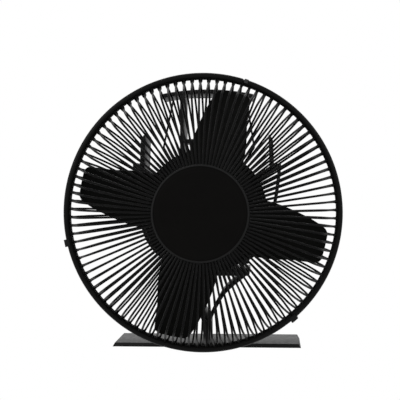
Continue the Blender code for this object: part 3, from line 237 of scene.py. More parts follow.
class NodeSheet(NodeTree):
    """The node tree of a Principled material, with the nodes that the finishes share."""

    def __init__(self, name: str) -> None:
        """Start the material.

        Args:
            name: Name of the material.
        """
        self.material = bpy.data.materials.new(name)
        self.material.use_nodes = True
        super().__init__(self.material.node_tree)
        self.shader = self.tree.nodes["Principled BSDF"]
        self.place = self.add("ShaderNodeTexCoord").outputs["Object"]

    def noise(self, scale: float, detail: float = 3.0, stretch: Triple = (1.0, 1.0, 1.0)) -> Socket:
        """Add a noise over the object's own places.

        Args:
            scale: Grains per metre.
            detail: Octaves of the noise.
            stretch: Share of the scale along each axis.

        Returns:
            The noise's value.
        """
        mapping = self.add("ShaderNodeMapping", {"Scale": stretch, "Vector": self.place})
        feeds = {"Scale": scale, "Detail": detail, "Vector": mapping.outputs["Vector"]}
        return self.add("ShaderNodeTexNoise", feeds).outputs["Fac"]

    def spread(self, value: Socket, source: Pair, result: Pair = (0.0, 1.0)) -> Socket:
        """Spread a part of a value's range, the source, over the range of the result."""
        feeds = dict(zip(("From Min", "From Max", "To Min", "To Max"), (*source, *result)))
        return self.add("ShaderNodeMapRange", {**feeds, "Value": value}).outputs["Result"]

    def colours(self, value: Socket, dark: Triple, pale: Triple) -> Socket:
        """Run from one colour to another over a noise.

        Args:
            value: The noise's value.
            dark: Colour at the lower end of its range.
            pale: Colour at the upper end.

        Returns:
            The colour.
        """
        ramp = self.add("ShaderNodeValToRGB", {"Fac": value})
        for element, place, colour in zip(ramp.color_ramp.elements, NOISE_RANGE, (dark, pale)):
            element.position = place
            element.color = (*colour, 1.0)
        return ramp.outputs["Color"]

    def wear_and_highlight_edges(self, colour: Socket, edge: Triple, wear_and_highlight_span: Pair) -> Socket:
        """Lighten a colour along outer edges: rubbed edges on most coats, and a painted highlight on the
        disc's rim bead.

        Args:
            colour: The colour of the faces.
            edge: The colour of the paler edges: rubbed edges, and on the disc a painted highlight.
            wear_and_highlight_span: Pointedness at which the paling starts, and at which it is full.

        Returns:
            The mixed colour.
        """
        pointed = self.add("ShaderNodeNewGeometry").outputs["Pointiness"]
        feeds = {"Factor": self.spread(pointed, wear_and_highlight_span), MIX_FIRST: colour, MIX_SECOND: (*edge, 1.0)}
        return self.add("ShaderNodeMix", feeds, data_type="RGBA").outputs[MIX_RESULT]

    def finish(
        self, colour: Socket, roughness: Pair, gloss_scale: float, heights: Sequence[tuple[Socket, float]],
        **values: float,
    ) -> bpy.types.Material:
        """Give the shader its colour, its uneven gloss and one bump after another.

        Args:
            colour: The colour of the faces.
            roughness: Least and most roughness.
            gloss_scale: Grains of roughness per metre.
            heights: Values and the depth in metres that each stands for.
            values: The shader's other constants, with _ for a space in the name.

        Returns:
            The material.
        """
        normal: Feeds = {}
        for height, depth in heights:
            feeds = {"Strength": 1.0, "Distance": depth, "Height": height}
            bump = self.add("ShaderNodeBump", {**feeds, **normal})
            normal = {"Normal": bump.outputs["Normal"]}
        gloss = self.spread(self.noise(gloss_scale), NOISE_RANGE, roughness)
        self.feed(self.shader, {"Base Color": colour, "Roughness": gloss, **normal})
        self.feed(self.shader, {name.replace("_", " "): value for name, value in values.items()})
        return self.material


@dataclass(frozen=True)
class Coat:
    """Matt black coating: a fine grain, a slow change of tone, and paler edges, rubbed edges on most coats
    and a painted highlight on the disc's rim bead.
    """

    dark: Triple
    pale: Triple
    # Colour of the paler edges: rubbed edges, and on the disc a painted highlight
    edge: Triple
    roughness: Pair
    ior: float = 1.15
    grain: float = 2600.0
    grain_depth: float = 0.000012
    grain_detail: float = 2.0
    streak: Triple = (1.0, 1.0, 1.0)
    streak_scale: float = 900.0
    streak_depth: float = 0.0
    wear_and_highlight_span: Pair = (0.52, 0.62)
    tone_scale: float = 55.0
    tone_detail: float = 5.0
    gloss_scale: float = 420.0

    def make(self, name: str) -> bpy.types.Material:
        """Build the material.

        Args:
            name: Name of the material.

        Returns:
            The material.
        """
        sheet = NodeSheet(name)
        tone = sheet.colours(sheet.noise(self.tone_scale, self.tone_detail), self.dark, self.pale)
        heights = [(sheet.noise(self.grain, self.grain_detail), self.grain_depth)]
        if self.streak_depth:
            streaks = sheet.noise(self.streak_scale, self.grain_detail, self.streak)
            heights.append((streaks, self.streak_depth))
        # Paler edges: rubbed edges on most coats, and on the disc a painted highlight along the rim bead
        colour = sheet.wear_and_highlight_edges(tone, self.edge, self.wear_and_highlight_span)
        return sheet.finish(colour, self.roughness, self.gloss_scale, heights, IOR=self.ior)


@dataclass(frozen=True)
class Metal:
    """Bare metal with the lines of its making, and a slow change of tone."""

    dark: Triple
    pale: Triple
    roughness: Pair
    origin: Triple
    marks: Marks = Marks.TURNED
    line_scale: float = 900.0
    line_depth: float = 0.000006
    waver: float = 0.4
    tone_scale: float = 90.0
    gloss_scale: float = 700.0
    grain: float = 3000.0

    def make(self, name: str) -> bpy.types.Material:
        """Build the material.

        Args:
            name: Name of the material.

        Returns:
            The material.
        """
        sheet = NodeSheet(name)
        colour = sheet.colours(sheet.noise(self.tone_scale), self.dark, self.pale)
        mapping = sheet.add(
            "ShaderNodeMapping", {"Location": self.origin, "Vector": sheet.place}, vector_type="TEXTURE")
        feeds = {"Scale": self.line_scale, "Distortion": self.waver, "Vector": mapping.outputs["Vector"]}
        kind, direction = self.marks.value
        wave = sheet.add("ShaderNodeTexWave", feeds, wave_type=kind)
        setattr(wave, kind.lower() + "_direction", direction)
        heights = [(wave.outputs["Fac"], self.line_depth), (sheet.noise(self.grain), self.line_depth / 2)]
        return sheet.finish(colour, self.roughness, self.gloss_scale, heights, Metallic=1.0)


@dataclass(frozen=True)
class Moulding:
    """Plastic, rubber or ceramic with a fine grain."""

    dark: Triple
    pale: Triple
    roughness: Pair
    grain: float = 1800.0
    grain_depth: float = 0.00001
    sheen: float = 0.0
    tone_scale: float = 160.0
    gloss_scale: float = 600.0

    def make(self, name: str) -> bpy.types.Material:
        """Build the material.

        Args:
            name: Name of the material.

        Returns:
            The material.
        """
        sheet = NodeSheet(name)
        colour = sheet.colours(sheet.noise(self.tone_scale), self.dark, self.pale)
        heights = [(sheet.noise(self.grain), self.grain_depth)]
        return sheet.finish(colour, self.roughness, self.gloss_scale, heights, Sheen_Weight=self.sheen)


class Palette:
    """The fan's finishes, one for each slot of the record, made when they are first asked for."""

    def __init__(self, axis_height: float) -> None:
        """Set the finishes.

        Args:
            axis_height: Height of the rotor's axis, which the turning rings go round.
        """
        axis = (0.0, 0.0, axis_height)
        self.made: dict[Slot, bpy.types.Material] = {}
        self.finishes = {
            Slot.EXTRUSION: Coat(
                grey(0.0018), (0.0038, 0.0037, 0.0035), grey(0.014), (0.42, 0.56), ior=1.22,
                streak=(1.0, 0.02, 1.0), streak_depth=0.000012),
            Slot.WIRE: Coat(grey(0.0014), (0.0031, 0.0031, 0.0029), grey(0.007), (0.34, 0.48), ior=1.18),
            # On the disc, the paler edge colour over a narrow span of pointedness is a painted highlight
            # along the rim bead.
            Slot.DISC: Coat(
                (0.0025, 0.0023, 0.0021), (0.0035, 0.0032, 0.0029), grey(0.02), (0.42, 0.52), ior=1.12,
                wear_and_highlight_span=(0.506, 0.54)),
            Slot.CLIP: Coat(grey(0.002), grey(0.004), grey(0.014), (0.36, 0.48), ior=1.2),
            Slot.BLADES: Coat(
                (0.0014, 0.0015, 0.0012), (0.003, 0.0031, 0.0026), grey(0.009), (0.46, 0.6), grain=1700.0),
            Slot.HANDLE: Coat(grey(0.002), grey(0.0036), grey(0.008), (0.35, 0.48)),
            Slot.SCREW: Coat(grey(0.006), grey(0.011), grey(0.04), (0.28, 0.4), ior=1.4),
            Slot.ALUMINIUM: Metal((0.55, 0.55, 0.56), (0.68, 0.68, 0.69), (0.26, 0.4), axis),
            Slot.STEEL: Metal((0.42, 0.42, 0.43), grey(0.56), (0.24, 0.36), axis),
            Slot.IRON: Metal(
                grey(0.12), (0.22, 0.21, 0.2), (0.4, 0.55), axis, Marks.STACKED, 320.0, 0.00003),
            Slot.MAGNET: Moulding((0.03, 0.03, 0.032), (0.06, 0.06, 0.062), (0.55, 0.7), 1200.0, 0.00002),
            Slot.BRONZE: Metal((0.36, 0.24, 0.11), (0.5, 0.35, 0.17), (0.4, 0.55), axis),
            Slot.BRASS: Metal((0.55, 0.4, 0.14), (0.68, 0.52, 0.22), (0.26, 0.4), axis),
            Slot.COPPER: Metal(
                (0.42, 0.16, 0.06), (0.6, 0.26, 0.11), (0.22, 0.34), axis, Marks.WOUND, 700.0, 0.00005),
            Slot.PLASTIC: Moulding(grey(0.012), grey(0.022), (0.45, 0.6)),
            Slot.INSULATOR: Moulding((0.42, 0.3, 0.16), (0.6, 0.46, 0.28), (0.5, 0.65)),
            Slot.CERAMIC: Moulding((0.76, 0.76, 0.72), (0.88, 0.88, 0.85), (0.4, 0.55), 2400.0, 0.000006),
            Slot.SEMICONDUCTOR: Metal(
                (0.12, 0.12, 0.14), (0.24, 0.24, 0.26), (0.3, 0.45), axis, Marks.SAWN, 500.0, 0.00001),
            Slot.SEAL: Moulding((0.62, 0.62, 0.6), (0.76, 0.76, 0.74), (0.6, 0.75), sheen=0.1),
            Slot.PAD: Moulding((0.05, 0.05, 0.055), (0.1, 0.1, 0.105), (0.6, 0.8), 900.0, 0.00002),
            Slot.RED_LEAD: Moulding((0.32, 0.012, 0.012), (0.5, 0.03, 0.025), (0.4, 0.52), sheen=0.15),
            Slot.BLACK_LEAD: Moulding(grey(0.01), grey(0.022), (0.4, 0.52), sheen=0.15),
        }

    def of(self, slot: Slot) -> bpy.types.Material:
        """Return a slot's material.

        Args:
            slot: The record's slot.

        Returns:
            The material.
        """
        if slot not in self.made:
            self.made[slot] = self.finishes[slot].make("finish_" + slot.value)
        return self.made[slot]


# Outlines and paths


def polar(radius: float, angle: float) -> Pair:
    """Return the point at a radius, and at an angle in degrees from the first axis."""
    return (radius * cos(radians(angle)), radius * sin(radians(angle)))


def mirrored(outline: Sequence[Pair]) -> Outline:
    """Return an outline on the other side of the middle plane."""
    return [(-u, v) for u, v in outline]


def raised(outline: Sequence[Pair], height: float) -> Outline:
    """Return an outline moved up."""
    return [(u, v + height) for u, v in outline]


def rectangle(low_u: float, high_u: float, low_v: float, high_v: float) -> Outline:
    """Return the corners of a rectangle between its left, right, bottom and top sides."""
    return [(low_u, low_v), (high_u, low_v), (high_u, high_v), (low_u, high_v)]


def rod(radius: float, low: float, high: float) -> Outline:
    """Return the turned profile of a plain rod from one end to the other."""
    return [(0.0, low), (radius, low), (radius, high), (0.0, high)]


def middle_of(node: str) -> Triple:
    """Return the middle of a node's box."""
    return tuple((low + high) / 2 for low, high in zip(*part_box(node)))


def smooth_path(points: Sequence[Sequence[float]], steps: int) -> list[Vector]:
    """Return points on a smooth curve through the given ones.

    Args:
        points: Points that the curve goes through.
        steps: Steps from each point to the next.

    Returns:
        The curve's points.
    """
    knots = [Vector(point) for point in points]
    knots = [2 * knots[0] - knots[1]] + knots + [2 * knots[-1] - knots[-2]]
    path = []
    for before, start, end, after in zip(knots, knots[1:], knots[2:], knots[3:]):
        for step in range(steps):
            t = step / steps
            path.append(0.5 * (2 * start + (end - before) * t
                               + (2 * before - 5 * start + 4 * end - after) * t ** 2
                               + (3 * start - before - 3 * end + after) * t ** 3))
    return path + [knots[-2]]


def corner_curve(before: Vector, corner: Vector, after: Vector, setback: float, steps: int) -> list[Vector]:
    """Return points on a curve that rounds a corner.

    Args:
        before: Point before the corner.
        corner: The corner.
        after: Point after the corner.
        setback: Distance from the corner at which the curve starts and ends.
        steps: Steps along the curve.

    Returns:
        The curve's points.
    """
    start = corner + (before - corner).normalized() * setback
    end = corner + (after - corner).normalized() * setback
    shares = [step / steps for step in range(steps + 1)]
    return [start * (1 - t) ** 2 + corner * 2 * t * (1 - t) + end * t ** 2 for t in shares]


def bent_path(points: Sequence[Sequence[float]], radius: float, steps: int) -> list[Vector]:
    """Return a path whose inner corners are bends.

    Args:
        points: Corners of the path.
        radius: Radius of each bend.
        steps: Steps round each bend.

    Returns:
        The path's points.
    """
    knots = [Vector(point) for point in points]
    path = [knots[0]]
    for before, corner, after in zip(knots, knots[1:], knots[2:]):
        half = (before - corner).normalized().angle((after - corner).normalized()) / 2
        setback = min(radius / tan(half), (before - corner).length / 2, (after - corner).length / 2)
        path += corner_curve(before, corner, after, setback, steps)
    return path + [knots[-1]]


def wall_outline(path: Sequence[Sequence[float]], left: float, right: float) -> Outline:
    """Return the outline of a wall that follows a path.

    Args:
        path: Points along the wall.
        left: Reach to the left of the path.
        right: Reach to the right of it.

    Returns:
        The outline.
    """
    points = [Vector(point) for point in path]
    left_face = []
    right_face = []
    for index, point in enumerate(points):
        direction = (points[min(index + 1, len(points) - 1)] - points[max(index - 1, 0)]).normalized()
        normal = Vector((-direction.y, direction.x))
        left_face.append(tuple(point + normal * left))
        right_face.append(tuple(point - normal * right))
    return right_face + left_face[::-1]


def rounded_profile(profile: Sequence[Pair], radius: float, steps: int = 3) -> Outline:
    """Return a turned profile with its corners off the axis rounded.

    Args:
        profile: Points of (radius, distance along the axis).
        radius: Radius of the rounding.
        steps: Steps round each corner.

    Returns:
        The rounded profile.
    """
    knots = [Vector(point) for point in profile]
    path: Outline = []
    for before, corner, after in zip(knots[-1:] + knots, knots, knots[1:] + knots[:1]):
        if corner.x == 0.0:
            path.append(tuple(corner))
            continue
        setback = min(radius, (before - corner).length * MOST_ROUNDED, (after - corner).length * MOST_ROUNDED)
        path += [tuple(point) for point in corner_curve(before, corner, after, setback, steps)]
    return path


def thread_profile(radius: float, low: float, high: float, pitch: float, depth: float) -> Outline:
    """Return the ridges of a screw thread as a profile.

    Args:
        radius: Outer radius of the thread.
        low: Where the thread starts along the axis.
        high: Where it ends.
        pitch: Distance from ridge to ridge.
        depth: Depth of the grooves.

    Returns:
        Points of (radius, distance along the axis).
    """
    turns = max(1, int((high - low) / pitch))
    step = (high - low) / turns
    points: Outline = []
    for turn in range(turns):
        points += [(radius - depth, low + step * turn), (radius, low + step * (turn + 0.5))]
    return points + [(radius - depth, high)]


# Meshes


def spokes(along: Vector, across: Vector, count: int) -> list[Vector]:
    """Return directions at equal angles round a line.

    Args:
        along: Direction of the line.
        across: The first direction, square to the line.
        count: Number of directions.

    Returns:
        The directions.
    """
    beside = along.cross(across)
    turns = [2 * pi * step / count for step in range(count)]
    return [across * cos(turn) + beside * sin(turn) for turn in turns]


class Shape:
    """A mesh in the making, to which closed forms are added one after another."""

    def __init__(self) -> None:
        """Start an empty mesh."""
        self.bm = bmesh.new()

    def ring(self, points: Sequence[Sequence[float]]) -> list[bmesh.types.BMVert]:
        """Add a corner at each point and return the corners."""
        return [self.bm.verts.new(point) for point in points]

    def join(
        self, near: Sequence[bmesh.types.BMVert], far: Sequence[bmesh.types.BMVert], closed: bool = True,
    ) -> None:
        """Join two rows of corners by faces.

        Args:
            near: The first row.
            far: The second row.
            closed: Whether the rows are rings.
        """
        for index in range(len(near) if closed else len(near) - 1):
            following = (index + 1) % len(near)
            self.bm.faces.new((near[index], near[following], far[following], far[index]))

    def prism(self, outline: Sequence[Pair], low: float, high: float, place: Matrix = ALONG_Y) -> "Shape":
        """Add an outline extruded from low to high.

        Args:
            outline: Points across the prism.
            low: Depth of the first end.
            high: Depth of the second end.
            place: Matrix that carries (u, v, depth) to its place.

        Returns:
            This shape.
        """
        near, far = (self.ring([place @ Vector((u, v, depth)) for u, v in outline]) for depth in (low, high))
        self.bm.faces.new(near)
        self.bm.faces.new(far)
        self.join(near, far)
        return self

    def block(self, low: Triple, high: Triple) -> "Shape":
        """Add a box between its lowest and its highest corner."""
        return self.prism(rectangle(low[0], high[0], low[2], high[2]), low[1], high[1])

    def turned(
        self, profile: Sequence[Pair], centre: Triple, axis: Triple = Y_AXIS, steps: int = HOLE_STEPS,
    ) -> "Shape":
        """Add a closed profile turned about an axis.

        Args:
            profile: Points of (radius, distance along the axis).
            centre: Place from which the distances are measured.
            axis: Direction of the axis.
            steps: Facets round the axis.

        Returns:
            This shape.
        """
        along = Vector(axis)
        around = spokes(along, along.orthogonal().normalized(), steps)
        rings = []
        for radius, distance in profile:
            middle = Vector(centre) + along * distance
            rings.append(self.ring([middle + spoke * radius for spoke in around] if radius else [middle]))
        for ring, following in zip(rings, rings[1:] + rings[:1]):
            if len(ring) == 1 and len(following) == 1:
                continue
            for step in range(steps):
                after = (step + 1) % steps
                corners = (ring[step % len(ring)], ring[after % len(ring)],
                           following[after % len(following)], following[step % len(following)])
                self.bm.faces.new(list(dict.fromkeys(corners)))
        return self

    def wire(self, path: Sequence[Vector], radius: float, sides: int, ends: float = 0.0) -> "Shape":
        """Add a round wire along a path.

        Args:
            path: Points along the wire's middle.
            radius: Radius of the wire.
            sides: Facets round it.
            ends: Length of the rounding at its two ends.

        Returns:
            This shape.
        """
        last = len(path) - 1
        across = (path[1] - path[0]).normalized().orthogonal().normalized()
        rings = []
        for index, point in enumerate(path):
            direction = (path[min(index + 1, last)] - path[max(index - 1, 0)]).normalized()
            across = (across - direction * across.dot(direction)).normalized()
            stations = [(point, radius)]
            if ends and index == 0:
                stations = [(point, radius * WIRE_END), (point + direction * ends, radius)]
            elif ends and index == last:
                stations = [(point - direction * ends, radius), (point, radius * WIRE_END)]
            around = spokes(direction, across, sides)
            rings += [self.ring([middle + spoke * reach for spoke in around]) for middle, reach in stations]
        for near, far in zip(rings, rings[1:]):
            self.join(near, far)
        self.bm.faces.new(rings[0])
        self.bm.faces.new(rings[-1])
        return self

    def bead(self, middle: Vector, reach: Triple, turn: Matrix) -> "Shape":
        """Add a small rounded bead, such as a weld or a drop of solder.

        Args:
            middle: Centre of the bead.
            reach: Half sizes along the bead's own axes.
            turn: Rotation of the bead.

        Returns:
            This shape.
        """
        place = Matrix.Translation(middle) @ turn.to_4x4() @ Matrix.Diagonal((*reach, 1.0))
        bmesh.ops.create_icosphere(self.bm, subdivisions=2, radius=1.0, matrix=place)
        return self

    def close(self, name: str) -> bpy.types.Object:
        """Turn the mesh into an object of the scene.

        Args:
            name: Name of the object.

        Returns:
            The object.
        """
        bmesh.ops.recalc_face_normals(self.bm, faces=self.bm.faces)
        mesh = bpy.data.meshes.new(name)
        self.bm.to_mesh(mesh)
        self.bm.free()
        made = bpy.data.objects.new(name, mesh)
        bpy.context.scene.collection.objects.link(made)
        return made


def settle(piece: bpy.types.Object) -> None:
    """Replace an object's mesh by what its modifiers make of it.

    Args:
        piece: The object.
    """
    bpy.context.view_layer.update()
    seen = piece.evaluated_get(bpy.context.evaluated_depsgraph_get())
    mesh = bpy.data.meshes.new_from_object(seen)
    piece.modifiers.clear()
    piece.data = mesh
    mesh.name = piece.name


def combine(piece: bpy.types.Object, joining: Joining, shapes: Sequence[Shape]) -> None:
    """Add shapes to a piece or cut them from it.

    Args:
        piece: The object.
        joining: Whether the shapes are added or cut.
        shapes: The shapes, which are used up.
    """
    group = bpy.data.collections.new("tools")
    bpy.context.scene.collection.children.link(group)
    tools = [shape.close("tool") for shape in shapes]
    for tool in tools:
        group.objects.link(tool)
    step = piece.modifiers.new("boolean", "BOOLEAN")
    step.operation = joining.value
    step.solver = "EXACT"
    step.operand_type = "COLLECTION"
    step.collection = group
    settle(piece)
    for tool in tools:
        bpy.data.objects.remove(tool, do_unlink=True)
    bpy.data.collections.remove(group)


def round_edges(piece: bpy.types.Object, width: float, angle: float = ROUNDED_ANGLE) -> None:
    """Join flat faces and round the edges between the others.

    Args:
        piece: The object.
        width: Width of the rounding.
        angle: Least angle in degrees of the edges that are rounded.
    """
    bm = bmesh.new()
    bm.from_mesh(piece.data)
    bmesh.ops.remove_doubles(bm, verts=bm.verts, dist=MERGE_DISTANCE)
    bmesh.ops.dissolve_limit(bm, angle_limit=radians(FLAT_ANGLE), verts=bm.verts, edges=bm.edges)
    sharp = [edge for edge in bm.edges if edge.is_manifold and edge.calc_face_angle(0.0) > radians(angle)]
    bmesh.ops.bevel(
        bm, geom=sharp, offset=width, offset_type="OFFSET", segments=ROUND_STEPS, profile=0.5, affect="EDGES",
        clamp_overlap=True)
    bmesh.ops.recalc_face_normals(bm, faces=bm.faces)
    bm.to_mesh(piece.data)
    bm.free()


class Workshop:
    """Dresses finished shapes: finish, slot, body and the nodes that they stand for."""

    def __init__(self, palette: Palette) -> None:
        """Keep the palette and start to count."""
        self.palette = palette
        self.count = 0

    def dress(
        self, piece: bpy.types.Object, slot: Slot, body: Body, nodes: Sequence[str],
        shading: Shading = Shading.DRAWN,
    ) -> None:
        """Give a piece its finish and its body.

        Args:
            piece: The object.
            slot: The record's slot of its finish.
            body: The body that it rides on.
            nodes: Nodes of the frame that it stands for.
            shading: Angle up to which its faces shade as one.
        """
        piece.data.materials.clear()
        piece.data.materials.append(self.palette.of(slot))
        piece.data.shade_smooth()
        piece.data.set_sharp_from_angle(angle=radians(shading.value))
        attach(piece, body.value)
        if nodes:
            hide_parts(*nodes)
        self.count += 1
        log.info("%s: %d faces, on %s", piece.name, len(piece.data.polygons), body.value)

    def keep(self, node: str, slot: Slot) -> None:
        """Give a solid of the frame its finish.

        Args:
            node: Name of the node.
            slot: The record's slot of its finish.
        """
        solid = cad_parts[node]
        solid.data.materials.clear()
        solid.data.materials.append(self.palette.of(slot))
        self.count += 1
        log.info("%s: solid kept", node)


# The fan's places


@dataclass(frozen=True)
class Places:
    """Places that the pieces share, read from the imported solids."""

    base_half_width: float
    base_half_depth: float
    platform_top: float
    platform_half_width: float
    plate_low: float
    cold_front: float
    cold_back: float
    axis_height: float
    cage_height: float
    ring_front: float
    ring_back: float
    disc_front: float
    plate_front: float
    plate_back: float
    motor_front: float
    motor_back: float
    shaft_front: float

    @classmethod
    def from_frame(cls) -> "Places":
        """Read the places from the boxes of the nodes.

        Returns:
            The places.
        """
        hot_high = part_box("hot_body")[1]
        cold_low, cold_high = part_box("cold_body")
        can_low, can_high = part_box("motor_can")
        plate_low, plate_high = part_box("rear_guard_plate")
        return cls(
            base_half_width=hot_high.x,
            base_half_depth=hot_high.y,
            platform_top=hot_high.z,
            platform_half_width=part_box("clamp_screw_right")[1].x + PLATFORM_EDGE,
            plate_low=cold_low.z,
            cold_front=cold_low.y,
            cold_back=cold_high.y,
            axis_height=middle_of("motor_can")[2],
            cage_height=middle_of("front_guard_disc")[2],
            ring_front=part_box("front_guard_wires")[1].y - RING_WIRE,
            ring_back=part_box("rear_guard_wires")[0].y + RING_WIRE,
            disc_front=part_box("front_guard_disc")[0].y,
            plate_front=plate_low.y,
            plate_back=plate_high.y,
            motor_front=can_low.y + MOTOR_BOSS_LENGTH,
            motor_back=can_high.y,
            shaft_front=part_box("motor_shaft")[0].y,
        )

    @property
    def axis(self) -> Triple:
        """Return the point of the rotor's axis above the middle of the base."""
        return (0.0, 0.0, self.axis_height)

    @property
    def cage_axis(self) -> Triple:
        """Return the point of the cage's axis above the middle of the base."""
        return (0.0, 0.0, self.cage_height)


@dataclass
class Assembly:
    """A sub-assembly, with the workshop that dresses its pieces and the places that all share."""

    shop: Workshop
    places: Places


# Hot body


@dataclass
class HotBody(Assembly):
    """Base plate, stem, two curved arms and platform, drawn as one extrusion."""

    base_thickness: float = 0.0029
    edge_slope: float = 0.0017
    stem_half_width: float = 0.0019
    stem_rise: float = 0.0128
    arm_rise: float = 0.0384
    arm_thickness: float = 0.0028
    platform_thickness: float = 0.0044
    rounding: float = 0.00035
    arm_steps: int = 5
    # Places along the arm's upper face: across and up, as shares of its reach and rise
    arm_shares: tuple[Pair, ...] = (
        (0.0, 0.0), (0.12, 0.214), (0.28, 0.448), (0.39, 0.578), (0.505, 0.675),
        (0.633, 0.76), (0.79, 0.857), (0.92, 0.94), (1.0, 1.0),
    )

    def arm(self) -> Outline:
        """Return the outline of the right arm.

        Returns:
            The outline.
        """
        stem_top = self.base_thickness + self.stem_rise
        start = self.stem_half_width
        reach = self.places.platform_half_width - start
        face = [(start + across * reach, stem_top + up * self.arm_rise) for across, up in self.arm_shares]
        wall = wall_outline(smooth_path(face, self.arm_steps), self.arm_thickness, 0.0)
        return [(max(u, 0.0), v) for u, v in wall]

    def build(self) -> None:
        """Make the extrusion with its two threaded holes."""
        places = self.places
        front, back = -places.base_half_depth, places.base_half_depth
        half_top = places.base_half_width - self.edge_slope
        outline = [
            (-places.base_half_width, 0.0), (places.base_half_width, 0.0),
            (half_top, self.base_thickness), (-half_top, self.base_thickness),
        ]
        body = Shape().prism(outline, front, back).close("hot_extrusion")
        half = self.stem_half_width
        stem_top = self.base_thickness + self.stem_rise + self.arm_thickness
        platform_low = places.platform_top - self.platform_thickness
        width = places.platform_half_width
        webs = [
            rectangle(-half, half, self.base_thickness / 2, stem_top), self.arm(), mirrored(self.arm()),
            rectangle(-width, width, platform_low, places.platform_top),
        ]
        combine(body, Joining.ADD, [Shape().prism(web, front, back) for web in webs])
        round_edges(body, self.rounding)
        hole = rod(SCREW_HOLE, platform_low - CUT_OVERRUN, places.platform_top + CUT_OVERRUN)
        screws = [middle_of("clamp_screw_" + side) for side in SIDES]
        combine(body, Joining.CUT, [Shape().turned(hole, (x, y, 0.0), Z_AXIS) for x, y, _ in screws])
        self.shop.dress(body, Slot.EXTRUSION, Body.FRAME, ["hot_body"])


# Thermoelectric module


@dataclass
class Module(Assembly):
    """The module between the two bodies: pads, ceramic plates, blocks and seal."""

    def build(self) -> None:
        """Give the module's solids their finishes."""
        for node in ("hot_pad", "cold_pad"):
            self.shop.keep(node, Slot.PAD)
        for node in ("teg_hot_plate", "teg_cold_plate"):
            self.shop.keep(node, Slot.CERAMIC)
        self.shop.keep("teg_elements", Slot.SEMICONDUCTOR)
        self.shop.keep("teg_seal", Slot.SEAL)


# Screws and washers


@dataclass(frozen=True)
class Screw:
    """A socket screw: rounded head, hexagonal recess and threaded shank."""

    shank_radius: float = 0.0015
    head_radius: float = 0.00275
    socket_across: float = 0.0025
    socket_depth: float = 0.0013
    pitch: float = 0.0005
    thread_depth: float = 0.00027
    rounding_share: float = 0.22
    steps: int = 40

    def make(
        self, name: str, centre: Triple, axis: Triple, tip: float, seat: float, top: float,
    ) -> bpy.types.Object:
        """Make the screw.

        Args:
            name: Name of the object.
            centre: Place from which the distances are measured.
            axis: Direction from the tip to the head.
            tip: Distance of the shank's end.
            seat: Distance of the head's lower face, or of the shank's end where there is no head.
            top: Distance of the head's upper face.

        Returns:
            The object.
        """
        shank = thread_profile(
            self.shank_radius, tip + self.pitch, seat - self.pitch, self.pitch, self.thread_depth)
        core = self.shank_radius - self.thread_depth
        cap = [(0.0, seat)]
        if top > seat:
            cap = rounded_profile(rod(self.head_radius, seat, top), (top - seat) * self.rounding_share)[1:]
        profile = [(0.0, tip), (core - self.thread_depth, tip), *shank, (core, seat), *cap]
        piece = Shape().turned(profile, centre, axis, self.steps).close(name)
        turn = Vector(Z_AXIS).rotation_difference(Vector(axis)).to_matrix().to_4x4()
        corner = self.socket_across / 2 / cos(pi / 6)
        hexagon = [polar(corner, 60.0 * index) for index in range(6)]
        place = Matrix.Translation(centre) @ turn
        socket = Shape().prism(hexagon, top - self.socket_depth, top + CUT_OVERRUN, place)
        combine(piece, Joining.CUT, [socket])
        return piece


@dataclass
class Clamp(Assembly):
    """Two screws that press the cold body on the module, each with its washers."""

    screw: Screw = Screw()
    head_height: float = 0.0024
    dish: float = 0.0004
    washer_rounding: float = 0.00015
    washer_steps: int = 48

    def build(self) -> None:
        """Make the screws, the dished spring washers and the insulating washers."""
        for side in SIDES:
            node = "clamp_screw_" + side
            low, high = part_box(node)
            centre = (*middle_of(node)[:2], 0.0)
            name = "clamp_cap_screw_" + side
            screw = self.screw.make(name, centre, Z_AXIS, low.z, high.z - self.head_height, high.z)
            self.shop.dress(screw, Slot.SCREW, Body.FRAME, [node], Shading.MACHINED)
            for kind, slot, dish in (
                ("spring_washer_", Slot.STEEL, self.dish), ("insulating_washer_", Slot.INSULATOR, 0.0),
            ):
                low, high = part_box(kind + side)
                radius = (high.y - low.y) / 2
                inner = SCREW_HOLE
                profile = [(inner, low.z + dish), (radius, low.z), (radius, high.z - dish), (inner, high.z)]
                ring = rounded_profile(profile, self.washer_rounding)
                washer = Shape().turned(ring, centre, Z_AXIS, self.washer_steps)
                made = washer.close(kind + "turned_" + side)
                self.shop.dress(made, slot, Body.FRAME, [kind + side])


# Cold body


